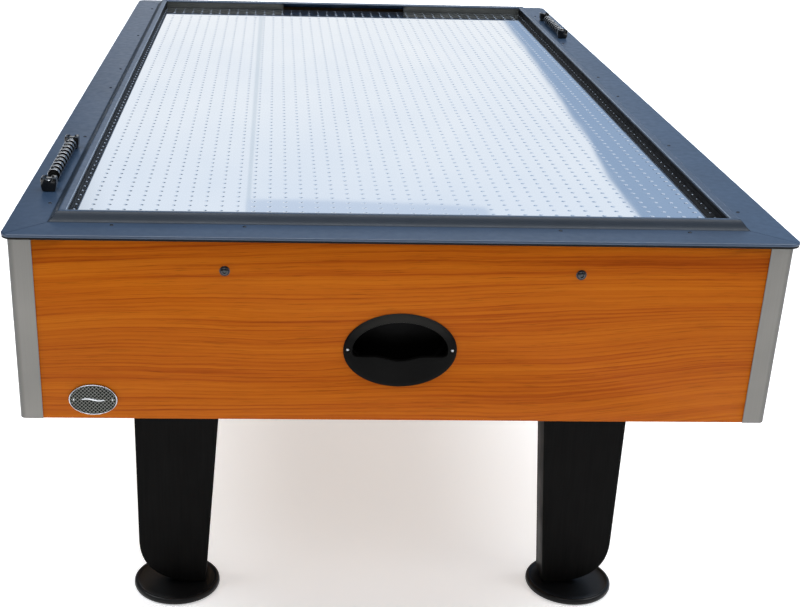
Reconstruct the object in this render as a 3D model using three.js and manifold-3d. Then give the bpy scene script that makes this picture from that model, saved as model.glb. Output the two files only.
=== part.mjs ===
// Air hockey table, in millimetres: X across, Y along, +Z up, origin on the floor under its centre.
// A perforated playing surface lies on a shallow air chamber that a fan under it fills.
// Four mitred rails frame the surface, four laminated boards hang round it as the cabinet, and
// four legs with levelling feet carry it. Each end has a goal slot, a funnel behind it and an
// oval cup where pucks come out. Sliding beads on two opposite rails keep the score.
import * as THREE from "three";
import { mergeVertices } from "three/addons/utils/BufferGeometryUtils.js";
import Module from "manifold-3d";

const wasm = await Module();
wasm.setup();

// ---- Driving dimensions -------------------------------------------------------------------
const gap = 0.3; // clearance between touching pieces
const table = { halfWidth: 598, halfLength: 1090 };
const well = { halfWidth: 511, halfLength: 1003 };
const surfaceHeight = 780; // top of the playing surface
const deckHeight = surfaceHeight + 6.5; // flat outer part of the rails
const lipHeight = surfaceHeight + 20.5; // raised inner part of the rails
const rail = { edge: 8, cornerRadius: 18, lipWidth: 9.5, slopeFoot: 27.5, easing: 2 };
const railUnderside = deckHeight - rail.edge;
const playfieldThickness = 12;
const cabinet = { halfWidth: 589.5, halfLength: 1082, bottom: 484, board: 15 };
const trim = { leg: 36, wall: 1.5, radius: 10 };
const boardFaceX = cabinet.halfWidth - trim.wall - gap;
const boardFaceY = cabinet.halfLength - trim.wall - gap;
const boardInnerX = boardFaceX - cabinet.board;
const boardInnerY = boardFaceY - cabinet.board;
const boardTop = railUnderside - gap;
const goal = { halfWidth: 175, depth: 59, mouthHeight: 17, skin: 1.7 };
const cup = { halfWidth: 88, halfHeight: 61, centre: 604, depth: 56, wall: 2.5 };
const cupFlange = { thickness: 3.5, opening: 14, lip: 594, lipDip: 7 };
const chamber = { halfWidth: 527, halfLength: 1000, floor: 700, board: 12, outlet: 70 };
const bottomPanel = { underside: 494, thickness: 9, intake: 75 };
const legBeam = { width: 86, height: 42 };
const leg = { outer: 442, innerTop: 282, innerBottom: 320, front: 828, back: 762 };
const legFoot = { bottom: 16, curveHeight: 96, curvePower: 2.6 };
const foot = { x: 375, y: 803, radius: 80.5, thickness: 13, neck: 12, stud: 6, studTop: 62 };
const fan = { ring: 81, wall: 3, flange: 100, bottom: 628, motor: 32, hub: 30, blades: 7 };
const scorer = { x: 559, outerEnd: 871, innerEnd: 585, blockLength: 22, halfWidth: 12, footHalfWidth: 8 };
const bead = { count: 10, pitch: 21.1, length: 20.5, radius: 10.5, bore: 3.1, rod: 2.5, axis: 11 };
const controls = { y: 600, z: 540, spacing: 60 };
const badge = { x: -474.7, z: 516.5, halfWidth: 37.8, halfHeight: 25.9, thickness: 2.4 };

// ---- Materials ----------------------------------------------------------------------------
function surface(color, roughness, metalness = 0) {
  return new THREE.MeshStandardMaterial({ color, roughness, metalness });
}

const laminateWhite = () => surface("#dfe6f2", 0.12);
const railGrey = () => surface("#4b5868", 0.45);
const cherryWood = () => surface("#b05c18", 0.4);
const trimSilver = () => surface("#92918b", 0.5, 0.3);
const legBlack = () => surface("#151515", 0.5);
const cupBlack = () => surface("#101010", 0.35);
const glossBlack = () => surface("#0b0b0c", 0.15);
const boardBrown = () => surface("#9c7c58", 0.9);
const plainWood = () => surface("#c29a68", 0.8);
const steelGrey = () => surface("#8b8d90", 0.35, 0.8);
const sheetGrey = () => surface("#3a3c40", 0.6);
const fanGrey = () => surface("#2b2d30", 0.5);
const pewter = () => surface("#6c6f70", 0.35, 0.8);

// ---- Solids -------------------------------------------------------------------------------
function solidOf(geometry) {
  const bare = geometry.index ? geometry.toNonIndexed() : geometry.clone();
  bare.deleteAttribute("normal");
  bare.deleteAttribute("uv");
  const merged = mergeVertices(bare, 1e-3);
  const vertProperties = new Float32Array(merged.attributes.position.array);
  const triVerts = new Uint32Array(merged.index.array);
  return new wasm.Manifold(new wasm.Mesh({ numProp: 3, vertProperties, triVerts }));
}

function geometryOf(solid) {
  const result = solid.getMesh();
  const geometry = new THREE.BufferGeometry();
  geometry.setAttribute("position", new THREE.BufferAttribute(result.vertProperties.slice(), 3));
  geometry.setIndex(new THREE.BufferAttribute(result.triVerts.slice(), 1));
  geometry.computeVertexNormals();
  return geometry;
}

function joined(geometries) {
  return geometryOf(geometries.map(solidOf).reduce((whole, piece) => whole.add(piece)));
}

function cut(geometry, tools) {
  return geometryOf(tools.map(solidOf).reduce((whole, tool) => whole.subtract(tool), solidOf(geometry)));
}

function common(first, second) {
  return geometryOf(solidOf(first).intersect(solidOf(second)));
}

// A box between two corners on each axis.
function block([x0, x1], [y0, y1], [z0, z1]) {
  const geometry = new THREE.BoxGeometry(x1 - x0, y1 - y0, z1 - z0);
  return geometry.translate((x0 + x1) / 2, (y0 + y1) / 2, (z0 + z1) / 2);
}

function shapeOf(points) {
  return new THREE.Shape(points.map(([a, b]) => new THREE.Vector2(a, b)));
}

function extruded(outline, depth) {
  const shape = Array.isArray(outline) ? shapeOf(outline) : outline;
  return new THREE.ExtrudeGeometry(shape, { depth, bevelEnabled: false, curveSegments: 8 });
}

// Outlines are drawn in (x, y), (y, z) or (x, z) and extruded along the axis left over.
function prismZ(outline, z0, z1) {
  return extruded(outline, z1 - z0).translate(0, 0, z0);
}

function prismX(outline, x0, x1) {
  const toX = new THREE.Matrix4().makeBasis(
    new THREE.Vector3(0, 1, 0), new THREE.Vector3(0, 0, 1), new THREE.Vector3(1, 0, 0));
  return extruded(outline, x1 - x0).applyMatrix4(toX).translate(x0, 0, 0);
}

function prismY(outline, y0, y1) {
  return extruded(outline, y1 - y0).rotateX(Math.PI / 2).translate(0, y1, 0);
}

function arc(centreX, centreY, radius, fromDegrees, toDegrees, steps) {
  const points = [];
  for (let step = 0; step <= steps; step += 1) {
    const angle = THREE.MathUtils.degToRad(fromDegrees + ((toDegrees - fromDegrees) * step) / steps);
    points.push([centreX + radius * Math.cos(angle), centreY + radius * Math.sin(angle)]);
  }
  return points;
}

function ellipse(centreX, centreY, halfWidth, halfHeight, steps = 40) {
  const points = arc(0, 0, 1, 0, 360, steps).slice(0, -1);
  return points.map(([a, b]) => [centreX + halfWidth * a, centreY + halfHeight * b]);
}

// A solid of revolution about Z from (radius, height) points.
function turned(profile, steps) {
  const points = profile.map(([radius, height]) => new THREE.Vector2(radius, height));
  return new THREE.LatheGeometry(points, steps).rotateX(Math.PI / 2);
}

const group = new THREE.Group();

function add(name, geometry, material, position = [0, 0, 0], turn = 0) {
  const mesh = new THREE.Mesh(geometry, material);
  mesh.name = name;
  mesh.position.set(...position);
  mesh.rotation.z = turn;
  group.add(mesh);
}

// ---- Rails --------------------------------------------------------------------------------
// Section of a rail: distance out from the well's wall, height above the floor. Its raised lip
// falls to the deck in one S-shaped slope.
function railSection() {
  const { lipWidth, slopeFoot, easing } = rail;
  const width = table.halfWidth - well.halfWidth;
  const step = boardInnerX + gap - well.halfWidth;
  const drop = lipHeight - deckHeight;
  const slopeSteps = 6;
  const slope = Array.from({ length: slopeSteps + 1 }, (_, index) => {
    const share = 1 - index / slopeSteps;
    const out = lipWidth + (slopeFoot - lipWidth) * share;
    return [out, deckHeight + (drop * (1 + Math.cos(Math.PI * share))) / 2];
  });
  return [
    [0, surfaceHeight + gap],
    [step, surfaceHeight + gap],
    [step, railUnderside],
    [width - easing, railUnderside],
    [width, railUnderside + easing],
    [width, deckHeight - easing],
    [width - easing, deckHeight],
    ...slope,
    [easing, lipHeight],
    [0, lipHeight - easing],
  ];
}

// Plan of a rail that runs along the second axis: mitred at 45 degrees, outer corners rounded.
function railPlan(halfWell, halfWidth, halfRun) {
  const mitreGap = gap / 2;
  const radius = rail.cornerRadius;
  const inner = [halfWell - 1, halfRun - (halfWidth - halfWell) - 1 - mitreGap];
  const corner = arc(halfWidth - radius, halfRun - radius - mitreGap, radius, 45, 0, 5);
  const upper = [inner, ...corner];
  const lower = upper.map(([across, along]) => [across, -along]).reverse();
  return [...upper, ...lower].reverse();
}

function sideRail(side) {
  const section = railSection().map(([out, height]) => [well.halfWidth + out, height]);
  const bar = prismY(section, -table.halfLength, table.halfLength);
  const plan = prismZ(railPlan(well.halfWidth, table.halfWidth, table.halfLength), 700, 900);
  const body = common(bar, plan);
  return side > 0 ? body : body.rotateZ(Math.PI);
}

function endRail(side) {
  const section = railSection().map(([out, height]) => [well.halfLength + out, height]);
  const bar = prismX(section, -table.halfWidth, table.halfWidth);
  const plan = prismZ(railPlan(well.halfLength, table.halfLength, table.halfWidth), 700, 900);
  plan.rotateZ(Math.PI / 2);
  const body = cut(common(bar, plan), [goalPocket()]);
  return side > 0 ? body : body.rotateZ(Math.PI);
}

// The hollow of the far end rail: the slot in its wall and the space a puck drops through.
function goalPocket() {
  const floor = surfaceHeight - 1;
  const ceiling = deckHeight - goal.skin;
  const mouthTop = surfaceHeight + goal.mouthHeight;
  const start = well.halfLength;
  const outline = [
    [start - 2, floor],
    [start + goal.depth, floor],
    [start + goal.depth, ceiling],
    [start + rail.slopeFoot - 6, ceiling],
    [start + rail.lipWidth - 4, mouthTop],
    [start - 2, mouthTop],
  ];
  return prismX(outline, -goal.halfWidth, goal.halfWidth);
}

// ---- Playing surface ----------------------------------------------------------------------
function playfield() {
  const halfWidth = boardInnerX - gap;
  const halfLength = boardInnerY - gap;
  const notchStart = well.halfLength + 3;
  const notch = (side) => [
    [goal.halfWidth * side, halfLength * side],
    [goal.halfWidth * side, notchStart * side],
    [-goal.halfWidth * side, notchStart * side],
    [-goal.halfWidth * side, halfLength * side],
  ];
  const outline = [
    [halfWidth, halfLength],
    ...notch(1),
    [-halfWidth, halfLength],
    [-halfWidth, -halfLength],
    ...notch(-1),
    [halfWidth, -halfLength],
  ];
  return prismZ(outline, surfaceHeight - playfieldThickness, surfaceHeight);
}

// ---- Cabinet ------------------------------------------------------------------------------
function sideBoard() {
  const chamfer = trim.radius - trim.wall - gap;
  const outline = [
    [boardInnerX, -boardFaceY],
    [boardFaceX - chamfer, -boardFaceY],
    [boardFaceX, chamfer - boardFaceY],
    [boardFaceX, boardFaceY - chamfer],
    [boardFaceX - chamfer, boardFaceY],
    [boardInnerX, boardFaceY],
  ];
  return prismZ(outline, cabinet.bottom, boardTop);
}

// The right board has two windows, for the mains inlet and the switch.
function controlBoard() {
  const along = (centre, half) => [centre - half, centre + half];
  const through = [boardInnerX - 5, boardFaceX + 5];
  const inletHole = block(through, along(controls.y, 20.5), along(controls.z, 11.5));
  const switchHole = block(through, along(controls.y + controls.spacing, 8.5), along(controls.z, 13.5));
  return cut(sideBoard(), [inletHole, switchHole]);
}

function endBoard() {
  const shape = shapeOf([
    [-boardInnerX + gap, cabinet.bottom],
    [boardInnerX - gap, cabinet.bottom],
    [boardInnerX - gap, boardTop],
    [-boardInnerX + gap, boardTop],
  ]);
  const hole = ellipse(0, cup.centre, cup.halfWidth - 3.5, cup.halfHeight - 3.5);
  shape.holes.push(shapeOf(hole));
  return prismY(shape, boardInnerY, boardFaceY);
}

function cornerTrim() {
  const { halfWidth, halfLength } = cabinet;
  const centreX = halfWidth - trim.radius;
  const centreY = halfLength - trim.radius;
  const outline = [
    [halfWidth - trim.leg, halfLength - trim.wall],
    ...arc(centreX, centreY, trim.radius - trim.wall, 90, 0, 5),
    [halfWidth - trim.wall, halfLength - trim.leg],
    [halfWidth, halfLength - trim.leg],
    ...arc(centreX, centreY, trim.radius, 0, 90, 5),
    [halfWidth - trim.leg, halfLength],
  ];
  return prismZ(outline, cabinet.bottom, boardTop);
}

function bottomBoard() {
  const halfWidth = boardInnerX - gap;
  const halfLength = boardInnerY - gap;
  const corners = [[-1, -1], [1, -1], [1, 1], [-1, 1]];
  const shape = shapeOf(corners.map(([a, b]) => [a * halfWidth, b * halfLength]));
  shape.holes.push(shapeOf(ellipse(0, 0, bottomPanel.intake, bottomPanel.intake, 32)));
  return prismZ(shape, bottomPanel.underside, bottomPanel.underside + bottomPanel.thickness);
}

function crossBeam() {
  const middle = (leg.front + leg.back) / 2;
  const floor = bottomPanel.underside + bottomPanel.thickness + gap;
  const across = boardInnerX - gap;
  const along = [middle - legBeam.width / 2, middle + legBeam.width / 2];
  return block([-across, across], along, [floor, floor + legBeam.height]);
}

// ---- Air supply ---------------------------------------------------------------------------
// An open tray: the playing surface is its lid, and air comes in through the hole in its floor.
function airChamber() {
  const { halfWidth, halfLength, floor, board, outlet } = chamber;
  const top = surfaceHeight - playfieldThickness - gap;
  const body = block([-halfWidth, halfWidth], [-halfLength, halfLength], [floor, top]);
  const innerX = halfWidth - board;
  const innerY = halfLength - board / 2;
  const inside = block([-innerX, innerX], [-innerY, innerY], [floor + board, top + 5]);
  const hole = turned([[0, floor - 5], [outlet, floor - 5], [outlet, floor + 20], [0, floor + 20]], 32);
  return cut(body, [inside, hole]);
}

function fanHousing() {
  const top = chamber.floor - gap;
  const { ring, wall, flange, bottom } = fan;
  const profile = [
    [ring - wall, bottom],
    [ring + 8, bottom],
    [ring + 8, bottom + wall],
    [ring, bottom + 12],
    [ring, top - wall],
    [flange, top - wall],
    [flange, top],
    [ring - wall, top],
    [ring - wall, bottom],
  ];
  return turned(profile, 32);
}

// The motor hangs in the middle of the ring on three arms, its shaft pointing up.
function fanMotor() {
  const base = fan.bottom + 4;
  const top = base + 36;
  const shaft = 4;
  const body = turned([[0, base], [fan.motor, base], [fan.motor, top], [shaft, top],
    [shaft, top + 26], [0, top + 26]], 24);
  const arms = [0, 1, 2].map((index) => {
    const reach = fan.ring - fan.wall - 3 * gap;
    const arm = block([fan.motor - 4, reach], [-4, 4], [base + 2, base + 8]);
    return arm.rotateZ((index * 2 * Math.PI) / 3);
  });
  return joined([body, ...arms]);
}

function fanImpeller() {
  const base = fan.bottom + 42.5;
  const bore = 4.4;
  const hub = turned([[bore, base], [fan.hub, base], [fan.hub, base + 16], [fan.hub - 4, base + 20],
    [bore, base + 20], [bore, base]], 24);
  const pitch = THREE.MathUtils.degToRad(35);
  const blades = Array.from({ length: fan.blades }, (_, index) => {
    const blade = block([fan.hub - 2, fan.ring - fan.wall - 4], [-13, 13], [-1.2, 1.2]);
    blade.rotateX(pitch).translate(0, 0, base + 9);
    return blade.rotateZ((index * 2 * Math.PI) / fan.blades);
  });
  return joined([hub, ...blades]);
}

// A round guard of two rings of slots over the air intake.
function intakeGrille() {
  const spokes = 8;
  const halfRib = 3;
  const rings = [[20, 44], [50, 74]];
  const shape = shapeOf(ellipse(0, 0, bottomPanel.intake + 15, bottomPanel.intake + 15, 32));
  for (const [inside, outside] of rings) {
    for (let index = 0; index < spokes; index += 1) {
      const centre = (index * 360) / spokes;
      const inTrim = THREE.MathUtils.radToDeg(halfRib / inside);
      const outTrim = THREE.MathUtils.radToDeg(halfRib / outside);
      const half = 180 / spokes;
      const outer = arc(0, 0, outside, centre - half + outTrim, centre + half - outTrim, 4);
      const inner = arc(0, 0, inside, centre + half - inTrim, centre - half + inTrim, 3);
      shape.holes.push(shapeOf([...outer, ...inner]));
    }
  }
  const top = bottomPanel.underside - gap;
  return prismZ(shape, top - 4, top);
}

// ---- Goal funnels and puck cups -----------------------------------------------------------
// A funnel behind the far board: a back plate and two sloping sides that lead into the cup.
function goalChute() {
  const top = surfaceHeight - playfieldThickness - gap;
  const bottom = cup.centre + cup.halfHeight + 4;
  const wide = goal.halfWidth + 5;
  const narrow = cup.halfWidth - 8;
  const wall = 3;
  const back = chamber.halfLength + gap;
  const front = boardInnerY - gap;
  const plate = [[-wide, top], [-narrow, bottom], [narrow, bottom], [wide, top]];
  const side = (sign) => [
    [sign * wide, top],
    [sign * (wide + wall), top],
    [sign * (narrow + wall), bottom],
    [sign * narrow, bottom],
  ];
  const overlap = 0.5;
  const slopeIn = (points, sign) => points.map(([x, z], index) => [
    index === 0 || index === 3 ? x - sign * overlap : x, z]);
  return joined([
    prismY(plate, back, back + wall),
    prismY(slopeIn(side(1), 1), back, front),
    prismY(slopeIn(side(-1), -1), back, front),
  ]);
}

function scaledOval(inset, steps = 40) {
  return ellipse(0, cup.centre, cup.halfWidth - inset, cup.halfHeight - inset, steps);
}

// The oval cup in the far board: flange, pocket, back wall and the low wall that holds pucks in.
function returnCup() {
  const face = boardFaceY + gap;
  const inner = boardFaceY - cup.depth;
  const flange = prismY(scaledOval(0), face, face + cupFlange.thickness);
  const tube = prismY(scaledOval(5), inner, face + 1);
  const pocket = prismY(scaledOval(5 + cup.wall), inner + cup.wall, face - 4);
  const mouth = prismY(mouthOutline(), face - 6, face + 10);
  const dropHole = block(
    [-(cup.halfWidth - 14), cup.halfWidth - 14],
    [inner + cup.wall, boardInnerY - 1],
    [cup.centre + 18, cup.centre + cup.halfHeight + 5]);
  return cut(joined([flange, tube]), [pocket, mouth, dropHole]);
}

// The arched mouth: an oval whose lower part is closed by the low wall with a dip in its middle.
function mouthOutline() {
  const halfWidth = cup.halfWidth - cupFlange.opening;
  const halfHeight = cup.halfHeight - cupFlange.opening;
  const lipAngle = THREE.MathUtils.radToDeg(Math.asin((cupFlange.lip - cup.centre) / halfHeight));
  const unit = arc(0, 0, 1, lipAngle, 180 - lipAngle, 22);
  const arch = unit.map(([a, b]) => [halfWidth * a, cup.centre + halfHeight * b]);
  const dip = [-40, -20, 0, 20, 40].map((x) => {
    const depth = cupFlange.lipDip * Math.cos((x / 40) * (Math.PI / 2)) ** 2;
    return [x, cupFlange.lip - depth];
  });
  return [...arch, ...dip];
}

// ---- Legs and feet ------------------------------------------------------------------------
// Front outline of the right leg: straight outside, tapered inside, its outer toe rounded up.
function legOutline() {
  const top = bottomPanel.underside - gap;
  const across = leg.outer - leg.innerBottom;
  const toe = [];
  const steps = 10;
  for (let step = 1; step <= steps; step += 1) {
    const angle = (Math.PI / 2) * (step / steps);
    const out = Math.sin(angle) ** (2 / legFoot.curvePower);
    const up = Math.cos(angle) ** (2 / legFoot.curvePower);
    toe.push([leg.innerBottom + across * out, legFoot.bottom + legFoot.curveHeight * (1 - up)]);
  }
  return [[leg.innerTop, top], [leg.innerBottom, legFoot.bottom], ...toe, [leg.outer, top]];
}

function legBody() {
  const post = prismY(legOutline(), leg.back, leg.front);
  const radius = foot.stud + gap;
  const bore = turned([[0, 0], [radius, 0], [radius, 72], [0, 72]], 20);
  return cut(post, [bore.translate(foot.x, foot.y, 0)]);
}

function levellingFoot() {
  const { radius, thickness, neck, stud, studTop } = foot;
  return turned([
    [0, 0],
    [radius - 3, 0],
    [radius, 3],
    [radius, thickness - 5],
    [radius - 4, thickness],
    [neck, thickness],
    [neck, thickness + 2.5],
    [stud, thickness + 2.5],
    [stud, studTop],
    [0, studTop],
  ], 32);
}

// Mirror image of a geometry across the X or Y axis, with its faces turned the right way again.
function mirrored(geometry, signX, signY) {
  const copy = solidOf(geometry).mirror([1, 0, 0]);
  const across = signX < 0 ? copy : solidOf(geometry);
  return geometryOf(signY < 0 ? across.mirror([0, 1, 0]) : across);
}

// ---- Scorers ------------------------------------------------------------------------------
// Two end blocks joined by a rod; drawn for the left rail, with the spare space at the near end.
function scorerFrame() {
  const { x, outerEnd, innerEnd, blockLength, halfWidth, footHalfWidth } = scorer;
  const base = deckHeight + gap;
  const top = deckHeight + 2 * bead.axis - 0.5;
  const face = [
    [-x - footHalfWidth, base],
    [-x + footHalfWidth, base],
    [-x + halfWidth, base + 9],
    [-x + halfWidth, top],
    [-x - halfWidth, top],
    [-x - halfWidth, base + 9],
  ];
  const nearBlock = prismY(face, -outerEnd, -outerEnd + blockLength);
  const farBlock = prismY(face, -innerEnd - blockLength, -innerEnd);
  const rodLength = outerEnd - innerEnd - 2 * blockLength + 8;
  const rod = turned([[0, 0], [bead.rod, 0], [bead.rod, rodLength], [0, rodLength]], 12);
  rod.rotateX(-Math.PI / 2).translate(-x, -innerEnd - blockLength + 4 - rodLength, deckHeight + bead.axis);
  return joined([nearBlock, farBlock, rod]);
}

function beadBody() {
  const half = bead.length / 2;
  const shoulder = bead.radius - 3.5;
  const profile = [
    [bead.bore, -half],
    [shoulder, -half],
    [bead.radius, -half + 4],
    [bead.radius, half - 4],
    [shoulder, half],
    [bead.bore, half],
    [bead.bore, -half],
  ];
  return turned(profile, 14).rotateX(Math.PI / 2);
}

// ---- Mains inlet and switch, on the right board -------------------------------------------
function mainsInlet() {
  const face = boardFaceX + gap;
  const { y, z } = controls;
  const flange = block([face, face + 2.5], [y - 24, y + 24], [z - 14, z + 14]);
  const body = block([face - 22, face + 1], [y - 20, y + 20], [z - 11, z + 11]);
  const socket = block([face - 18, face + 5], [y - 12, y + 12], [z - 8.5, z + 8.5]);
  const pins = [[-7, -2], [7, -2], [0, 3]].map(([across, up]) => {
    const along = [y + across - 1, y + across + 1];
    return block([face - 19, face - 4], along, [z + up - 2.5, z + up + 2.5]);
  });
  return joined([cut(joined([flange, body]), [socket]), ...pins]);
}

function switchHousing() {
  const face = boardFaceX + gap;
  const y = controls.y + controls.spacing;
  const { z } = controls;
  const flange = block([face, face + 2], [y - 11, y + 11], [z - 16, z + 16]);
  const body = block([face - 16, face + 1], [y - 8, y + 8], [z - 13, z + 13]);
  const window = block([face - 14, face + 5], [y - 6.5, y + 6.5], [z - 11.5, z + 11.5]);
  return cut(joined([flange, body]), [window]);
}

// The rocker rests tipped back by half its travel, about an axis along Y.
function switchRocker() {
  const outline = [[-6, -8.5], [3.2, -10], [1.4, 0], [3.2, 10], [-6, 8.5]];
  const tip = THREE.MathUtils.degToRad(8);
  const rocker = prismY(outline, -6, 6).rotateY(tip);
  return rocker.translate(boardFaceX + gap, controls.y + controls.spacing, controls.z);
}

// ---- Assembly -----------------------------------------------------------------------------
function addRails() {
  add("left_rail", sideRail(-1), railGrey());
  add("right_rail", sideRail(1), railGrey());
  add("near_rail", endRail(-1), railGrey());
  add("far_rail", endRail(1), railGrey());
}

function addCabinet() {
  add("playfield", playfield(), laminateWhite());
  add("left_side_board", sideBoard(), cherryWood(), [0, 0, 0], Math.PI);
  add("right_side_board", controlBoard(), cherryWood());
  add("near_end_board", endBoard(), cherryWood(), [0, 0, 0], Math.PI);
  add("far_end_board", endBoard(), cherryWood());
  add("bottom_panel", bottomBoard(), boardBrown());
  add("near_leg_beam", crossBeam(), plainWood(), [0, 0, 0], Math.PI);
  add("far_leg_beam", crossBeam(), plainWood());
}

function addCorners() {
  for (const [end, signY] of [["near", -1], ["far", 1]]) {
    for (const [side, signX] of [["left", -1], ["right", 1]]) {
      const corner = `${end}_${side}`;
      add(`${corner}_corner_trim`, mirrored(cornerTrim(), signX, signY), trimSilver());
      add(`${corner}_leg`, mirrored(legBody(), signX, signY), legBlack());
      add(`${corner}_foot`, levellingFoot(), legBlack(), [signX * foot.x, signY * foot.y, 0]);
    }
  }
}

function addAirSupply() {
  add("air_chamber", airChamber(), plainWood());
  add("fan_housing", fanHousing(), fanGrey());
  add("fan_motor", fanMotor(), steelGrey());
  add("fan_impeller", fanImpeller(), fanGrey());
  add("intake_grille", intakeGrille(), fanGrey());
}

function addGoals() {
  for (const [end, turn] of [["near", Math.PI], ["far", 0]]) {
    add(`${end}_goal_chute`, goalChute(), sheetGrey(), [0, 0, 0], turn);
    add(`${end}_return_cup`, returnCup(), cupBlack(), [0, 0, 0], turn);
  }
}

// The scorer on the right rail is the left one turned half round the middle of the table.
function addScorers() {
  const height = deckHeight + bead.axis;
  const first = -scorer.innerEnd - scorer.blockLength - gap - bead.pitch / 2;
  for (const [side, sign] of [["left", 1], ["right", -1]]) {
    add(`${side}_scorer_frame`, scorerFrame(), glossBlack(), [0, 0, 0], sign > 0 ? 0 : Math.PI);
    for (let index = 0; index < bead.count; index += 1) {
      const y = first - index * bead.pitch;
      add(`${side}_bead_${index + 1}`, beadBody(), glossBlack(), [-scorer.x * sign, y * sign, height]);
    }
  }
}

function addControls() {
  add("mains_inlet", mainsInlet(), cupBlack());
  add("switch_housing", switchHousing(), cupBlack());
  add("switch_rocker", switchRocker(), glossBlack());
}

function addBadge() {
  const { x, z, halfWidth, halfHeight, thickness } = badge;
  const face = -boardFaceY - gap;
  add("badge", prismY(ellipse(x, z, halfWidth, halfHeight), face - thickness, face), pewter());
}

addRails();
addCabinet();
addCorners();
addAirSupply();
addGoals();
addScorers();
addControls();
addBadge();

export default group;
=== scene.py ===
import math
from contextlib import contextmanager

import bmesh
import bpy
import numpy as np
from mathutils import Matrix, Vector


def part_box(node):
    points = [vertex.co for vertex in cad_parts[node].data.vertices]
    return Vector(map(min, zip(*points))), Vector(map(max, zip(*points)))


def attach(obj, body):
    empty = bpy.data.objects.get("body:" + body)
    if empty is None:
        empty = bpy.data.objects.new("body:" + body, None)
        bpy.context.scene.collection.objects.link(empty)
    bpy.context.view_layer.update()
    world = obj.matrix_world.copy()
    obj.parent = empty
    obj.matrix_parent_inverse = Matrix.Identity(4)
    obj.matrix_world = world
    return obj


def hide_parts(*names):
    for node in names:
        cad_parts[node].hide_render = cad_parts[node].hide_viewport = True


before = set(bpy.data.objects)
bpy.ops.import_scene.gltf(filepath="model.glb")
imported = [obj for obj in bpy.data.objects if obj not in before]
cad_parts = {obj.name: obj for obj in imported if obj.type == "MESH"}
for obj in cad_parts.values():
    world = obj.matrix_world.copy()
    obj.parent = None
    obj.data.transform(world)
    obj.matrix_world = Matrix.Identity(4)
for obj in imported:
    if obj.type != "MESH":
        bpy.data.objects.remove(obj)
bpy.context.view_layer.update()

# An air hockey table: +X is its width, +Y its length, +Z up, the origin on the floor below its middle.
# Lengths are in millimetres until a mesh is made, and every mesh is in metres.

MM = 0.001
TABLE = "table"
SIDES = (("left", -1), ("right", 1))
ENDS = (("near", -1), ("far", 1))
CORNERS = [(f"{end}_{side}", sign_x, sign_y) for end, sign_y in ENDS for side, sign_x in SIDES]
FULL_TURN, QUARTER_TURN = 2 * math.pi, math.pi / 2


def box_mm(node):
    """Lowest and highest corner of a node's box."""
    low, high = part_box(node)
    return low / MM, high / MM


def middle_mm(node):
    low, high = box_mm(node)
    return (low + high) / 2


# ---- Driving dimensions -------------------------------------------------------------------
PLAY_LOW, PLAY_HIGH = box_mm("playfield")
SURFACE = PLAY_HIGH.z
RAIL_LOW, RAIL_HIGH = box_mm("right_rail")
END_RAIL_LOW, END_RAIL_HIGH = box_mm("far_rail")
BOARD_LOW, _ = box_mm("right_side_board")
END_BOARD_LOW, END_BOARD_HIGH = box_mm("far_end_board")
CUP_LOW, CUP_HIGH = box_mm("far_return_cup")
TRIM_LOW, TRIM_HIGH = box_mm("far_right_corner_trim")
LEG_LOW, LEG_HIGH = box_mm("far_right_leg")
FOOT_LOW, FOOT_HIGH = box_mm("far_right_foot")
HALF_WIDTH, HALF_LENGTH = RAIL_HIGH.x, END_RAIL_HIGH.y
WELL_X, WELL_Y = RAIL_LOW.x, END_RAIL_LOW.y
RAIL_BASE = RAIL_LOW.z
RAIL_THICKNESS = 8
DECK = RAIL_BASE + RAIL_THICKNESS
LIP = RAIL_HIGH.z
CORNER_RADIUS = 18
RAIL_WIDTH = HALF_WIDTH - WELL_X
BADGE_LOW, BADGE_HIGH = box_mm("badge")
BADGE_X, _, BADGE_Z = middle_mm("badge")
BADGE_PITCH = 6.0
GOAL_HALF_WIDTH = 175
HOLE_PITCH = 25.4
HOLE_COLUMNS, HOLE_ROWS = 41, 79


# ---- Mesh helpers -------------------------------------------------------------------------
SHARP_ABOVE = 35


def added(name, data):
    """A new object in the scene."""
    obj = bpy.data.objects.new(name, data)
    bpy.context.scene.collection.objects.link(obj)
    return obj


@contextmanager
def edited(mesh):
    """The mesh as a bmesh, written back at the end."""
    shape = bmesh.new()
    shape.from_mesh(mesh)
    yield shape
    shape.to_mesh(mesh)
    shape.free()


def make(name, points, faces, smooth_angle=None):
    mesh = bpy.data.meshes.new(name)
    mesh.from_pydata([tuple(c * MM for c in point) for point in points], [], faces)
    mesh.update()
    obj = added(name, mesh)
    tidy_normals(obj)
    if smooth_angle:
        shade(obj, smooth_angle)
    return obj


def tidy_normals(obj, merge=0.0):
    with edited(obj.data) as shape:
        if merge:
            bmesh.ops.remove_doubles(shape, verts=shape.verts, dist=merge * MM)
        bmesh.ops.recalc_face_normals(shape, faces=shape.faces)


def shade(obj, angle=SHARP_ABOVE):
    """Smooth shading, kept sharp at edges steeper than angle."""
    mesh = obj.data
    mesh.polygons.foreach_set("use_smooth", [True] * len(mesh.polygons))
    limit = math.radians(angle)
    with edited(mesh) as shape:
        for edge in shape.edges:
            edge.smooth = len(edge.link_faces) == 2 and edge.calc_face_angle(math.pi) < limit


def apply_modifiers(obj):
    graph = bpy.context.evaluated_depsgraph_get()
    mesh = bpy.data.meshes.new_from_object(obj.evaluated_get(graph))
    obj.modifiers.clear()
    obj.data = mesh


def bevelled(obj, width, segments=2, angle=30):
    """Rounds the edges that are steeper than angle."""
    modifier = obj.modifiers.new("ease", "BEVEL")
    modifier.width = width * MM
    modifier.segments = segments
    modifier.limit_method = "ANGLE"
    modifier.angle_limit = math.radians(angle)
    apply_modifiers(obj)
    shade(obj)
    return obj


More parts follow.
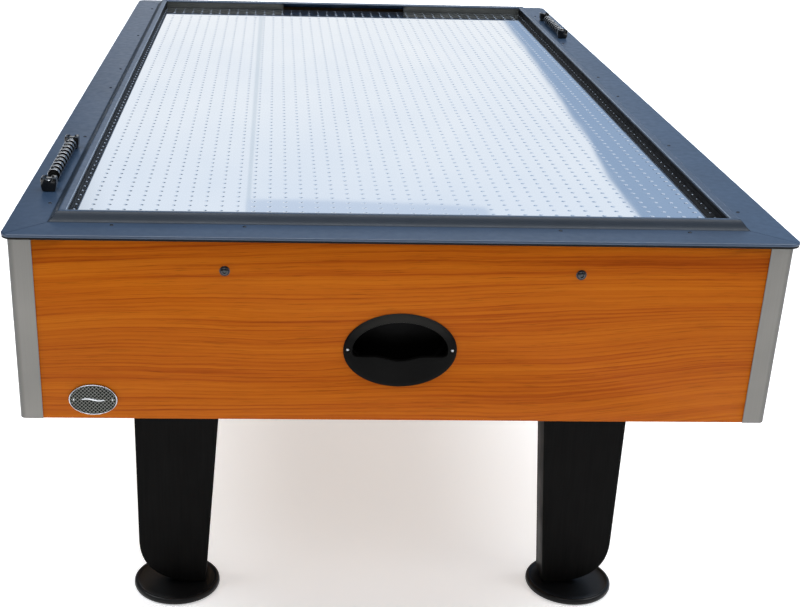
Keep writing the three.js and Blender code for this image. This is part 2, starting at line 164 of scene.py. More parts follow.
def carved(obj, tool):
    """Cuts the tool's shape out of a piece and removes the tool."""
    modifier = obj.modifiers.new("cut", "BOOLEAN")
    modifier.operation = "DIFFERENCE"
    modifier.solver = "EXACT"
    modifier.object = tool
    apply_modifiers(obj)
    bpy.data.objects.remove(tool)


def skirt(first, second, count):
    """Quads between two closed rings of count points, given the index that each ring starts at."""
    faces = []
    for index in range(count):
        after = (index + 1) % count
        faces.append((first + index, first + after, second + after, second + index))
    return faces


def loft(name, rings, tube=False):
    """Skin over rings of equal point counts: capped at both ends, or for a tube, last joined to first."""
    count, total = len(rings[0]), len(rings)
    points = [point for ring in rings for point in ring]
    faces = []
    for level in range(total if tube else total - 1):
        faces += skirt(level * count, (level + 1) % total * count, count)
    if not tube:
        faces.append(tuple(range(count)))
        faces.append(tuple(range(len(points) - count, len(points))))
    return make(name, points, faces, SHARP_ABOVE)


def prism(name, outline, place, bottom, top):
    """Closed prism over a flat outline; place(a, b, c) puts outline point a, b at depth c."""
    rings = [[place(a, b, depth) for a, b in outline] for depth in (bottom, top)]
    return loft(name, rings)


def upright(a, b, depth):
    return (a, b, depth)


def facing_y(a, b, depth):
    return (a, depth, b)


def facing_x(a, b, depth):
    return (depth, a, b)


def block(name, low, high):
    outline = [(low[0], low[1]), (high[0], low[1]), (high[0], high[1]), (low[0], high[1])]
    return prism(name, outline, upright, low[2], high[2])


def angles_to(last, steps, first=0):
    """Angles in radians, equal steps apart, from step number first up to last."""
    return [last * step / steps for step in range(first, steps + 1)]


def arc(cx, cy, radius, start, end, steps):
    """Points round an arc, its ends in degrees."""
    angles = [math.radians(start + (end - start) * step / steps) for step in range(steps + 1)]
    return [(cx + radius * math.cos(angle), cy + radius * math.sin(angle)) for angle in angles]


def oval(cx, cy, half_width, half_height, steps):
    unit = arc(0, 0, 1, 0, 360, steps)[:-1]
    return [(cx + half_width * a, cy + half_height * b) for a, b in unit]


# The rows of the turns that point a piece drawn along +Z another way.
POINTING = {
    "Z": ((1, 0, 0), (0, 1, 0), (0, 0, 1)),
    "-Z": ((1, 0, 0), (0, -1, 0), (0, 0, -1)),
    "Y": ((1, 0, 0), (0, 0, 1), (0, -1, 0)),
    "-Y": ((1, 0, 0), (0, 0, -1), (0, 1, 0)),
    "X": ((0, 0, 1), (0, 1, 0), (-1, 0, 0)),
}


def turned(name, profile, centre, axis="Z", steps=64, smooth_angle=SHARP_ABOVE):
    """Solid of revolution from (radius, height) points that start and end on the axis, or that
    close on themselves when none lies on it."""
    points, faces = [], []
    on_axis = profile[0][0] == 0
    columns = profile if on_axis else list(profile) + [profile[0]]
    ids = []
    for radius, height in profile:
        if radius == 0:
            ids.append([len(points)] * steps)
            points.append((0, 0, height))
            continue
        ids.append(list(range(len(points), len(points) + steps)))
        for angle in angles_to(FULL_TURN, steps)[:-1]:
            points.append((radius * math.cos(angle), radius * math.sin(angle), height))
    if not on_axis:
        ids.append(ids[0])
    for level in range(len(columns) - 1):
        for step in range(steps):
            after = (step + 1) % steps
            corners = [ids[level][step], ids[level][after], ids[level + 1][after], ids[level + 1][step]]
            unique = list(dict.fromkeys(corners))
            if len(unique) > 2:
                faces.append(tuple(unique))
    placed = []
    for point in points:
        turned_point = [sum(r * c for r, c in zip(row, point)) for row in POINTING[axis]]
        placed.append([c + shift for c, shift in zip(turned_point, centre)])
    return make(name, placed, faces, smooth_angle)


def mirrored(obj, sign_x, sign_y):
    """Reflects a mesh drawn for the far right corner into another corner."""
    obj.data.transform(Matrix.Diagonal((sign_x, sign_y, 1, 1)))
    if sign_x * sign_y < 0:
        obj.data.flip_normals()
    return obj


def eased(node, width, segments=2):
    """A copy of a plain solid with its flat faces made whole and its edges rounded."""
    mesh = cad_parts[node].data.copy()
    mesh.materials.clear()
    obj = added(node + "_body", mesh)
    with edited(mesh) as shape:
        bmesh.ops.remove_doubles(shape, verts=shape.verts, dist=1e-6)
        bmesh.ops.dissolve_limit(shape, angle_limit=math.radians(1), verts=shape.verts, edges=shape.edges)
    return bevelled(obj, width, segments)


def dress(obj, material, slot, body=TABLE, replaces=()):
    """Gives a piece its material and body, and hides the nodes that it stands in for; the slot is not used.
    """
    obj.data.materials.clear()
    obj.data.materials.append(MATERIALS[material])
    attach(obj, body)
    if replaces:
        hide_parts(*replaces)
    return obj


# ---- Material helpers ---------------------------------------------------------------------
class Nodes:
    """The node tree of a material or world, and short names for the nodes put in it."""

    def __init__(self, owner, coordinates):
        owner.use_nodes = True
        self.tree = owner.node_tree
        self.place = self.new("ShaderNodeTexCoord").outputs[coordinates]

    @staticmethod
    def set(node, **values):
        for key, value in values.items():
            node.inputs[key].default_value = value

    def link(self, source, target):
        self.tree.links.new(source, target)

    def new(self, kind, **properties):
        node = self.tree.nodes.new(kind)
        for key, value in properties.items():
            setattr(node, key, value)
        return node

    def axes(self):
        node = self.new("ShaderNodeSeparateXYZ")
        self.link(self.place, node.inputs["Vector"])
        return [node.outputs[axis] for axis in "XYZ"]

    def stretched(self, scale, source=None):
        node = self.new("ShaderNodeMapping")
        node.inputs["Scale"].default_value = scale
        self.link(source or self.place, node.inputs["Vector"])
        return node.outputs["Vector"]

    def noise(self, vector, scale, detail=2.0, roughness=0.5, distortion=0.0):
        node = self.new("ShaderNodeTexNoise")
        self.set(node, Scale=scale, Detail=detail, Roughness=roughness, Distortion=distortion)
        self.link(vector, node.inputs["Vector"])
        return node.outputs["Fac"]

    def ramp(self, factor, stops):
        node = self.new("ShaderNodeValToRGB")
        elements = node.color_ramp.elements
        while len(elements) < len(stops):
            elements.new(0.5)
        for element, (position, value) in zip(elements, stops):
            element.position = position
            colour = value if isinstance(value, tuple) else (value, value, value)
            element.color = (*colour, 1)
        self.link(factor, node.inputs["Fac"])
        return node.outputs["Color"]

    def shades(self, factor, dark, light):
        """A ramp over the middle of a noise's range."""
        return self.ramp(factor, [(0.3, dark), (0.7, light)])

    def between(self, value, low, high):
        """0 up to low and 1 from high, eased between; the other way round when low is above high."""
        node = self.new("ShaderNodeMapRange", interpolation_type="SMOOTHSTEP")
        node.inputs["From Min"].default_value = low
        node.inputs["From Max"].default_value = high
        self.link(value, node.inputs["Value"])
        return node.outputs["Result"]

    def maths(self, operation, first, second=0.0):
        node = self.new("ShaderNodeMath", operation=operation)
        for socket, value in zip(node.inputs, (first, second)):
            if isinstance(value, (int, float)):
                socket.default_value = value
            else:
                self.link(value, socket)
        return node.outputs["Value"]

    def product(self, first, *others):
        for other in others:
            first = self.maths("MULTIPLY", first, other)
        return first

    def weighted(self, *terms):
        """The sum of (value, weight) terms."""
        shares = [self.maths("MULTIPLY", value, weight) for value, weight in terms]
        total = shares[0]
        for share in shares[1:]:
            total = self.maths("ADD", total, share)
        return total

    def mix(self, factor, first, second, blend="MIX"):
        node = self.new("ShaderNodeMix", data_type="RGBA", blend_type=blend)
        targets = (node.inputs["Factor"], node.inputs[6], node.inputs[7])
        for socket, value in zip(targets, (factor, first, second)):
            if isinstance(value, (int, float)):
                socket.default_value = value
            elif isinstance(value, tuple):
                socket.default_value = (*value, 1)
            else:
                self.link(value, socket)
        return node.outputs[2]


class Recipe(Nodes):
    """A material with a Principled shader."""

    def __init__(self, name, roughness=0.5, metallic=0.0, coat=0.0, specular=0.5):
        self.material = bpy.data.materials.new(name)
        super().__init__(self.material, "Object")
        self.shader = self.tree.nodes["Principled BSDF"]
        self.set(self.shader, Roughness=roughness, Metallic=metallic)
        for key, value in (("Coat Weight", coat), ("Coat Roughness", 0.1), ("Specular IOR Level", specular)):
            self.shader.inputs[key].default_value = value

    def colour(self, value):
        self.link(value, self.shader.inputs["Base Color"])

    def roughness(self, factor, low, high):
        self.link(self.shades(factor, low, high), self.shader.inputs["Roughness"])

    def bump(self, height, strength, distance):
        node = self.new("ShaderNodeBump")
        self.set(node, Strength=strength, Distance=distance * MM)
        self.link(height, node.inputs["Height"])
        self.link(node.outputs["Normal"], self.shader.inputs["Normal"])


def moulded(name, dark, light, roughness=0.45, grain=900, depth=0.02, coat=0.0, specular=0.3, coat_ior=1.5):
    """Moulded plastic: slight mottling, a fine grain, and handling marks in its gloss."""
    recipe = Recipe(name, roughness=roughness, coat=coat, specular=specular)
    recipe.shader.inputs["Coat IOR"].default_value = coat_ior
    broad = recipe.noise(recipe.place, 14, 3)
    recipe.colour(recipe.shades(broad, dark, light))
    recipe.roughness(recipe.noise(recipe.place, 45, 4), roughness - 0.05, roughness + 0.07)
    recipe.bump(recipe.noise(recipe.place, grain, 2), 0.25, depth)
    return recipe.material


def polished_surface():
    """The mirror-bright playing sheet, with faint handling haze and roller waviness."""
    recipe = Recipe("polished_sheet", roughness=0.05, metallic=0.985)
    haze = recipe.noise(recipe.stretched((1.4, 0.5, 1)), 4, 5, 0.6)
    recipe.colour(recipe.shades(haze, (0.84, 0.89, 0.95), (0.92, 0.95, 0.98)))
    recipe.roughness(recipe.noise(recipe.place, 9, 5, 0.6), 0.015, 0.035)
    recipe.bump(recipe.noise(recipe.stretched((1, 0.4, 1)), 26, 3), 0.03, 0.12)
    return recipe.material


def hole_finish():
    """The drilled walls of the air holes, cut and left matt; their dim blue-grey is painted shade inside the
    holes, not the sheet's white core.
    """
    recipe = Recipe("drilled_wall_painted_shade", roughness=0.6, specular=0.2)
    swirl = recipe.noise(recipe.place, 800, 2)
    # Painted shade: a dim blue-grey stands for the shade inside the holes.
    recipe.colour(recipe.shades(swirl, (0.33, 0.39, 0.47), (0.42, 0.48, 0.57)))
    recipe.bump(swirl, 0.2, 0.05)
    return recipe.material


def vinyl(name, dark, light, gloss, specular):
    """Satin vinyl with a pebble so fine that it only softens the sheen."""
    recipe = Recipe(name, roughness=gloss, specular=specular)
    broad = recipe.noise(recipe.place, 7, 4, 0.6)
    recipe.colour(recipe.shades(broad, dark, light))
    recipe.roughness(recipe.noise(recipe.place, 70, 4), gloss - 0.05, gloss + 0.05)
    recipe.bump(recipe.noise(recipe.place, 900, 2), 0.25, 0.03)
    return recipe.material


def cherry_laminate():
    """Cherry laminate: fine nearly level grain lines that bend round a few slow arches."""
    recipe = Recipe("cherry_laminate", roughness=0.42, specular=0.04)
    x, y, z = recipe.axes()
    drift = recipe.noise(recipe.stretched((1.1, 1.1, 2.6)), 1.3, 1, 0.4)
    wander = recipe.noise(recipe.stretched((3.2, 3.2, 12)), 1.6, 2, 0.5)
    level = recipe.weighted((z, 1.0), (x, -0.03), (drift, 0.085), (wander, 0.009))
    bent = recipe.new("ShaderNodeCombineXYZ")
    for axis, source in zip("XYZ", (x, y, level)):
        recipe.link(source, bent.inputs[axis])
    flow = bent.outputs["Vector"]

    lines_per_metre = 160.0
    growth = recipe.maths("FRACT", recipe.product(level, lines_per_metre))
    line = recipe.ramp(growth, [(0.0, 0.0), (0.10, 0.75), (0.35, 1.0), (0.80, 0.9), (1.0, 0.0)])
    fibre = recipe.noise(recipe.stretched((1.3, 1.3, 150), flow), 1.9, 4, 0.6)
    streak = recipe.noise(recipe.stretched((0.7, 0.7, 52), flow), 1.7, 4, 0.62)
    patch = recipe.noise(recipe.stretched((0.8, 0.8, 9), flow), 1.5, 2, 0.5)
    tone = recipe.weighted((line, 0.08), (streak, 0.36), (fibre, 0.36), (patch, 0.15))
    base = recipe.ramp(tone, [
        (0.37, (0.232, 0.040, 0.0022)),
        (0.45, (0.298, 0.062, 0.0030)),
        (0.52, (0.346, 0.082, 0.0038)),
        (0.61, (0.385, 0.101, 0.0052)),
    ])
    pore = recipe.noise(recipe.stretched((9, 9, 420), flow), 2.5, 3, 0.6)
    marks = recipe.ramp(pore, [(0.0, 0.66), (0.32, 0.72), (0.44, 1.0)])
    recipe.colour(recipe.mix(1.0, base, marks, "MULTIPLY"))
    recipe.roughness(streak, 0.38, 0.48)
    recipe.bump(fibre, 0.12, 0.05)
    return recipe.material


def trim_finish():
    """Silver-grey lacquered extrusion, drawn lines running up it and painted shade darkening its outer edge.
    """
    recipe = Recipe("corner_silver", roughness=0.45, metallic=0.35, specular=0.3)
    drawn = recipe.noise(recipe.stretched((260, 260, 2)), 2, 3, 0.6)
    broad = recipe.noise(recipe.place, 8, 2)
    tone = recipe.weighted((drawn, 0.3), (broad, 0.7))
    body = recipe.shades(tone, (0.150, 0.143, 0.130), (0.196, 0.186, 0.167))
    # Painted shade: the trim's colour is darkened towards its outer rounded edge.
    painted_shade_width = 12.5 * MM
    x, _, _ = recipe.axes()
    inward = recipe.maths("SUBTRACT", TRIM_HIGH.x * MM, recipe.maths("ABSOLUTE", x))
    painted_shade_share = recipe.ramp(recipe.product(inward, 1 / painted_shade_width), [(0.0, 0.36), (0.85, 1.0)])
    recipe.colour(recipe.mix(1.0, body, painted_shade_share, "MULTIPLY"))
    recipe.roughness(drawn, 0.38, 0.52)
    recipe.bump(drawn, 0.1, 0.02)
    return recipe.material


def leg_finish():
    """Satin black laminate with a faint upright brushed grain."""
    recipe = Recipe("leg_satin", roughness=0.5, specular=0.04)
    grain = recipe.noise(recipe.stretched((60, 60, 3)), 3, 4, 0.6)
    recipe.colour(recipe.shades(grain, (0.0020, 0.0019, 0.0018), (0.0045, 0.0043, 0.0040)))
    recipe.roughness(recipe.noise(recipe.place, 18, 4), 0.42, 0.56)
    recipe.bump(grain, 0.15, 0.05)
    return recipe.material


def badge_face_finish():
    """Dark pewter whose crossed ridges are rubbed bright and whose grooves stay dark."""
    recipe = Recipe("badge_face", roughness=0.34, metallic=1.0)
    x, _, z = recipe.axes()
    x = recipe.maths("SUBTRACT", x, BADGE_X * MM)
    z = recipe.maths("SUBTRACT", z, BADGE_Z * MM)
    above_zero = 100.0
    weaves = []
    for diagonal in ("ADD", "SUBTRACT"):
        turns = recipe.product(recipe.maths(diagonal, x, z), 1 / (BADGE_PITCH * MM))
        share = recipe.maths("FRACT", recipe.maths("ADD", turns, above_zero))
        weaves.append(recipe.maths("ABSOLUTE", recipe.maths("SUBTRACT", share, 0.5)))
    ridge = recipe.maths("MINIMUM", *weaves)
    worn = recipe.noise(recipe.place, 220, 3)
    bright = recipe.shades(worn, (0.11, 0.113, 0.100), (0.18, 0.183, 0.168))
    dark = recipe.shades(worn, (0.008, 0.008, 0.007), (0.016, 0.016, 0.015))
    recipe.colour(recipe.mix(recipe.ramp(ridge, [(0.05, 1.0), (0.13, 0.0)]), dark, bright))
    recipe.roughness(worn, 0.28, 0.42)
    return recipe.material


def cup_face_finish():
    """Black moulding of a cup's face, painted a little paler towards its upper brim as a painted highlight.
    """
    recipe = Recipe("cup_face", roughness=0.34, specular=0.04)
    _, _, z = recipe.axes()
    # Painted highlight: the face grows paler towards its top, where it catches the light from above.
    highlight_start, share_per_metre = 622 * MM, 22.0
    climb = recipe.product(recipe.maths("SUBTRACT", z, highlight_start), share_per_metre)
    broad = recipe.noise(recipe.place, 14, 3)
    dark = recipe.shades(broad, (0.0016, 0.0015, 0.0013), (0.0030, 0.0028, 0.0025))
    painted_highlight = recipe.shades(broad, (0.018, 0.017, 0.0150), (0.025, 0.0235, 0.0205))
    recipe.colour(recipe.mix(recipe.ramp(climb, [(0.0, 0.0), (1.0, 1.0)]), dark, painted_highlight))
    recipe.roughness(recipe.noise(recipe.place, 45, 4), 0.30, 0.42)
    recipe.bump(recipe.noise(recipe.place, 700, 2), 0.25, 0.02)
    return recipe.material


def brushed(name, dark, light, roughness=0.3):
    """Metal with fine brushed lines round it."""
    recipe = Recipe(name, roughness=roughness, metallic=1.0)
    lines = recipe.noise(recipe.stretched((8, 8, 300)), 3, 4, 0.6)
    recipe.colour(recipe.shades(lines, dark, light))
    recipe.roughness(lines, roughness - 0.06, roughness + 0.08)
    recipe.bump(lines, 0.1, 0.02)
    return recipe.material


def board_finish(name, dark, light, fleck):
    """Raw board: pressed fibres and scattered darker flecks."""
    recipe = Recipe(name, roughness=0.85)
    fibres = recipe.noise(recipe.place, 160, 5, 0.7)
    base = recipe.shades(fibres, dark, light)
    flecks = recipe.ramp(recipe.noise(recipe.place, 420, 2), [(0.0, fleck), (0.34, fleck), (0.42, 1.0)])
    recipe.colour(recipe.mix(1.0, base, flecks, "MULTIPLY"))
    recipe.bump(fibres, 0.3, 0.15)
    return recipe.material


def softwood():
    """Planed softwood with grain along its length."""
    recipe = Recipe("planed_softwood", roughness=0.75)
    grain = recipe.noise(recipe.stretched((1.5, 30, 60)), 2, 4, 0.55, 0.6)
    recipe.colour(recipe.shades(grain, (0.46, 0.29, 0.13), (0.66, 0.46, 0.25)))
    recipe.bump(grain, 0.2, 0.1)
    return recipe.material


MATERIALS = {
    "sheet": polished_surface(),
    "hole": hole_finish(),
    "rail": vinyl("rail_slate", (0.015, 0.032, 0.062), (0.021, 0.042, 0.080), 0.36, 0.56),
    # Painted shade: the slope's vinyl is a darker, duller copy of the deck's, for the shade in the cove.
    "slope": vinyl("rail_cove_painted_shade", (0.009, 0.015, 0.024), (0.013, 0.021, 0.033), 0.42, 0.22),
    # Painted highlight: the lip's rounded edge takes a paler copy of the vinyl, for the light it catches.
    "rail_edge": vinyl("lip_edge_painted_highlight", (0.16, 0.20, 0.25), (0.21, 0.25, 0.31), 0.28, 0.6),
    # Painted light: the end rails' wall strips are a paler copy of the black wall strip, for the light they
    # catch.
    "end_wall": moulded("end_wall_painted_light", (0.055, 0.056, 0.050), (0.080, 0.081, 0.074), 0.5, 700,
                        specular=0.2),
    "wall": moulded("wall_black", (0.0012, 0.0012, 0.0013), (0.0024, 0.0024, 0.0026), 0.5, 700,
                    specular=0.05),
    "edging": moulded("edging_black", (0.0022, 0.0022, 0.0024), (0.0040, 0.0040, 0.0042), 0.45, 700,
                      specular=0.1),
    "cherry": cherry_laminate(),
    "trim": trim_finish(),
    "leg": leg_finish(),
    "foot": moulded("foot_moulding", (0.0035, 0.0035, 0.0037), (0.0070, 0.0070, 0.0072), 0.36, 600,
                    specular=0.22),
    "cup": moulded("cup_moulding", (0.0016, 0.0015, 0.0013), (0.0030, 0.0028, 0.0025), 0.34, 700,
                   specular=0.05),
    "cup_face": cup_face_finish(),
    "scorer": moulded("scorer_gloss", (0.004,) * 3, (0.008,) * 3, 0.14, 300, 0.01, 0.5),
    "bead": moulded("bead_gloss", (0.002,) * 3, (0.004,) * 3, 0.08, 300, 0.003, 1.0, coat_ior=3.0),
    # Painted shade: the bead flanks are a darker, duller copy of the bead plastic.
    "bead_flank_painted_shade": moulded("bead_flank_painted_shade", (0.0015,) * 3, (0.003,) * 3, 0.5, 300, 0.01, specular=0.05),
    "fan": moulded("fan_moulding", (0.020, 0.021, 0.023), (0.030, 0.031, 0.034), 0.5, 500),
    "chute": moulded("chute_sheet", (0.024, 0.024, 0.026), (0.034, 0.034, 0.036), 0.5, 400),
    "board": board_finish("raw_fibreboard", (0.24, 0.15, 0.08), (0.34, 0.22, 0.125), 0.8),
    "softwood": softwood(),
    "steel": brushed("plated_steel", (0.40, 0.41, 0.42), (0.56, 0.57, 0.58), 0.3),
    "black_steel": brushed("blackened_steel", (0.030, 0.030, 0.031), (0.060, 0.060, 0.062), 0.22),
    "chrome": brushed("badge_chrome", (0.40, 0.41, 0.42), (0.56, 0.57, 0.58), 0.2),
    "badge_face": badge_face_finish(),
}


# ---- Playing surface ----------------------------------------------------------------------
GOAL_NOTCH = 1006
HOLE_SIDES = 12
DISH_RADIUS, DISH_DEPTH = 4.4, 0.062
DIMPLE_RADIUS, DIMPLE_DEPTH, BORE_RADIUS = 1.05, 0.4, 0.7


def hole_rings(points, x, y):
    """Adds the four rings of one air hole, top to bottom, and gives their first indices."""
    starts = []
    levels = ((DISH_RADIUS, SURFACE), (DIMPLE_RADIUS, SURFACE - DISH_DEPTH),
              (BORE_RADIUS, SURFACE - DISH_DEPTH - DIMPLE_DEPTH), (BORE_RADIUS, PLAY_LOW.z))
    for radius, height in levels:
        starts.append(len(points))
        for turn in angles_to(FULL_TURN, HOLE_SIDES)[:-1]:
            angle = turn + math.pi / 4
            points.append((x + radius * math.cos(angle), y + radius * math.sin(angle), height))
    return starts


def cell_faces(corners, ring):
    """Four faces between a square cell's corners, counter-clockwise from +X+Y, and a hole's ring."""
    quarter = HOLE_SIDES // 4
    faces = []
    for index in range(4):
        after = (index + 1) % 4
        inner = [ring + (quarter * index + step) % HOLE_SIDES for step in range(quarter + 1)]
        faces.append((corners[index], corners[after], *reversed(inner)))
    return faces


def sheet_outline(grid_x):
    """Edge of the sheet, notched behind both goals, from its near right corner round."""
    half_x, half_y = PLAY_HIGH.x, PLAY_HIGH.y
    far = [(grid_x, half_y), (GOAL_HALF_WIDTH, half_y), (GOAL_HALF_WIDTH, GOAL_NOTCH),
           (-GOAL_HALF_WIDTH, GOAL_NOTCH), (-GOAL_HALF_WIDTH, half_y), (-grid_x, half_y)]
    near = [(-x, -y) for x, y in far]
    return [(half_x, -half_y), (half_x, half_y), *far, (-half_x, half_y), (-half_x, -half_y), *near]


def perforated_sheet():
    """The playing sheet with every air hole: a faint dish, a countersink and a fine bore."""
    grid_x, grid_y = HOLE_COLUMNS * HOLE_PITCH / 2, HOLE_ROWS * HOLE_PITCH / 2
    points, faces, dished, drilled = [], [], [], []
    across, along = HOLE_COLUMNS + 1, HOLE_ROWS + 1
    for height in (SURFACE, PLAY_LOW.z):
        for row in range(along):
            for column in range(across):
                points.append((column * HOLE_PITCH - grid_x, row * HOLE_PITCH - grid_y, height))
    lower = across * along

    def corner(column, row, level=0):
        return level * lower + row * across + column

    for row in range(HOLE_ROWS):
        for column in range(HOLE_COLUMNS):
            x = (column + 0.5) * HOLE_PITCH - grid_x
            y = (row + 0.5) * HOLE_PITCH - grid_y
            rim, edge, throat, foot = hole_rings(points, x, y)
            for level, ring in ((0, rim), (1, foot)):
                corners = [corner(column + 1, row + 1, level), corner(column, row + 1, level),
                           corner(column, row, level), corner(column + 1, row, level)]
                cell = cell_faces(corners, ring)
                faces += cell if level == 0 else [tuple(reversed(face)) for face in cell]
            for top, bottom, kind in ((rim, edge, dished), (edge, throat, drilled), (throat, foot, drilled)):
                kind += range(len(faces), len(faces) + HOLE_SIDES)
                faces += skirt(top, bottom, HOLE_SIDES)
    outline = sheet_outline(grid_x)
    rims = []
    for height in (SURFACE, PLAY_LOW.z):
        rims.append(len(points))
        points += [(x, y, height) for x, y in outline]
    count = len(outline)
    for level, rim in enumerate(rims):
        right = [corner(HOLE_COLUMNS, row, level) for row in range(along)]
        left = [corner(0, row, level) for row in range(along)]
        far = [corner(column, HOLE_ROWS, level) for column in range(across)]
        near = [corner(column, 0, level) for column in range(across)]
        bands = [
            [rim + count - 1, rim, rim + 1, rim + 2, *reversed(right)],
            [rim + 2 + step for step in range(6)] + far,
            [rim + 7, rim + 8, rim + 9, rim + 10, *left],
            [rim + 10 + step for step in range(6)] + list(reversed(near)),
        ]
        faces += [tuple(band) if level == 0 else tuple(reversed(band)) for band in bands]
    faces += skirt(rims[1], rims[0], count)
    obj = make("playing_sheet", points, faces)
    dress(obj, "sheet", "playing_laminate", replaces=["playfield"])
    obj.data.materials.append(MATERIALS["hole"])
    for index in dished:
        obj.data.polygons[index].use_smooth = True
    for index in drilled:
        obj.data.polygons[index].material_index = 1


# ---- Rails --------------------------------------------------------------------------------
LIP_WIDTH, LIP_FALL, SLOPE_FOOT, LIP_ROUND, EDGE_ROUND = 9.5, 1.7, 27.5, 0.9, 2.4
BAND_HEIGHT, BAND_INSET = 3.4, 0.5
WALL_DEPTH, WALL_TOP = 3.0, 5.2
MITRE_GAP = 0.55
BOARD_LAP, SHEET_GAP, FIT = 0.3, 0.4, 0.1
BAND_WIDTH = 7
MOUTH_HEIGHT, POCKET_DEPTH, POCKET_ROOF = 17, 59, 1.7
CORNER_STEPS = 10


def rail_profile(step_out):
    """Section of a rail as (distance out from the well's wall, height)."""
    drop = LIP - DECK
    slope = []
    for index in range(19):
        share = 1 - index / 18
        out = LIP_WIDTH + (SLOPE_FOOT - LIP_WIDTH) * share
        slope.append((out, DECK + drop * (1 + math.cos(math.pi * share)) / 2))
    crown = []
    for index in range(1, 9):
        share = index / 8
        out = LIP_WIDTH - (LIP_WIDTH - LIP_ROUND) * share
        crown.append((out, LIP - LIP_FALL * share ** 1.5))
    inner_top = LIP - LIP_FALL - LIP_ROUND
    outer = RAIL_WIDTH - EDGE_ROUND
    band_top = RAIL_BASE + BAND_HEIGHT
    return [
        (WALL_DEPTH, SURFACE + SHEET_GAP),
        (step_out, SURFACE + SHEET_GAP),
        (step_out, RAIL_BASE),
        (RAIL_WIDTH - BAND_WIDTH, RAIL_BASE),
        (RAIL_WIDTH - BAND_WIDTH, band_top),
        (RAIL_WIDTH - 0.5, band_top),
        (RAIL_WIDTH, band_top + 0.5),
        *arc(outer, DECK - EDGE_ROUND, EDGE_ROUND, 0, 90, 6),
        *slope,
        *crown,
        *arc(LIP_ROUND, inner_top, LIP_ROUND, 90, 180, 6)[1:],
        (0, LIP - WALL_TOP),
        (WALL_DEPTH, LIP - WALL_TOP),
    ]


def band_profile():
    """The black edging let into the underside of a rail's outer edge."""
    face, back = RAIL_WIDTH - BAND_INSET, RAIL_WIDTH - BAND_WIDTH + FIT
    top = RAIL_BASE + BAND_HEIGHT - FIT
    return [(back, RAIL_BASE), *arc(face - 1, RAIL_BASE + 1, 1, -90, 0, 4), (face, top), (back, top)]


def wall_profile():
    """The black strip set into the rail's inner face, with one fine rib along it."""
    face, rib = 0.9, 0.15
    top, middle = LIP - WALL_TOP - FIT, SURFACE + 8
    return [
        (WALL_DEPTH - FIT, SURFACE + SHEET_GAP),
        (WALL_DEPTH - FIT, top),
        (face, top),
        (face, middle + 1.2),
        (rib, middle + 0.8),
        (rib, middle - 0.4),
        (face, middle - 0.8),
        (face, SURFACE + SHEET_GAP),
    ]


def mitred(name, profile, half_well, half_other, place):
    """A profile run the length of one side and mitred at both ends, its outer corners rounded."""
    def ring(angle, sign):
        centre_out, centre_along = RAIL_WIDTH - CORNER_RADIUS, half_other - CORNER_RADIUS
        points = []
        for out, height in profile:
            inset = RAIL_WIDTH - out
            if inset < CORNER_RADIUS:
                reach = CORNER_RADIUS - inset
                across = centre_out + reach * math.cos(angle)
                along = centre_along + reach * math.sin(angle)
            else:
                across, along = out, half_other - inset
            points.append(place(half_well + across, sign * (along - MITRE_GAP), height))
        return points

    angles = [math.radians(45 * step / CORNER_STEPS) for step in range(CORNER_STEPS + 1)]
    rings = [ring(angle, -1) for angle in reversed(angles)] + [ring(angle, 1) for angle in angles]
    obj = loft(name, rings)
    tidy_normals(obj, merge=0.002)
    shade(obj)
    return obj


def tint_rail(obj, axis):
    """Gives a rail's slope a darker vinyl as painted shade in the cove, and the rounded edge over the well a
    pale vinyl as a painted highlight.
    """
    obj.data.materials.append(MATERIALS["slope"])
    obj.data.materials.append(MATERIALS["rail_edge"])
    wall = (WELL_X, WELL_Y)[axis]
    for face in obj.data.polygons:
        out = abs(face.center[axis]) / MM - wall
        height = face.center.z / MM
        # Painted shade on the slope, and below it a painted highlight on the edge over the well.
        if face.normal.z > 0.1 and LIP_WIDTH + 1.5 < out < SLOPE_FOOT - 1.5 and height > DECK + 0.1:
            face.material_index = 1
        elif out < LIP_ROUND and height > LIP - LIP_FALL - LIP_ROUND:
            face.material_index = 2


def goal_pocket(end):
    """The slot in an end rail's wall and the hollow a puck drops through."""
    floor, mouth, ceiling = SURFACE - 1, SURFACE + MOUTH_HEIGHT, DECK - POCKET_ROOF
    outline = [(-5, floor), (POCKET_DEPTH, floor), (POCKET_DEPTH, ceiling), (SLOPE_FOOT - 6, ceiling),
               (LIP_WIDTH - 4, mouth), (-5, mouth)]
    placed = [(end * (WELL_Y + out), height) for out, height in outline]
    return prism("goal_cutter", placed, facing_x, -GOAL_HALF_WIDTH, GOAL_HALF_WIDTH)


def build_rails():
    """Each rail, the strip set in its wall and the edging under its outer edge."""
    runs = ((SIDES, 0, BOARD_LOW.x, WELL_X, HALF_LENGTH), (ENDS, 1, END_BOARD_LOW.y, WELL_Y, HALF_WIDTH))
    for sides, axis, board, well, half_length in runs:
        for side, sign in sides:
            def place(out, along, height, sign=sign, axis=axis):
                return (along, sign * out, height) if axis else (sign * out, along, height)

            # The end rails' wall strips take the paler copy of the strip, which is painted light.
            parts = (("body", rail_profile(board + BOARD_LAP - well), "rail", [side + "_rail"]),
                     ("wall", wall_profile(), "end_wall" if axis else "wall", ()),
                     ("edging", band_profile(), "edging", ()))
            for part, profile, material, replaced in parts:
                piece = mitred(f"{side}_rail_{part}", profile, well, half_length, place)
                if axis and part != "edging":
                    carved(piece, goal_pocket(sign))
                if part == "body":
                    shade(piece)
                dress(piece, material, "rail_grey", replaces=replaced)
                if part == "body":
                    tint_rail(piece, axis)


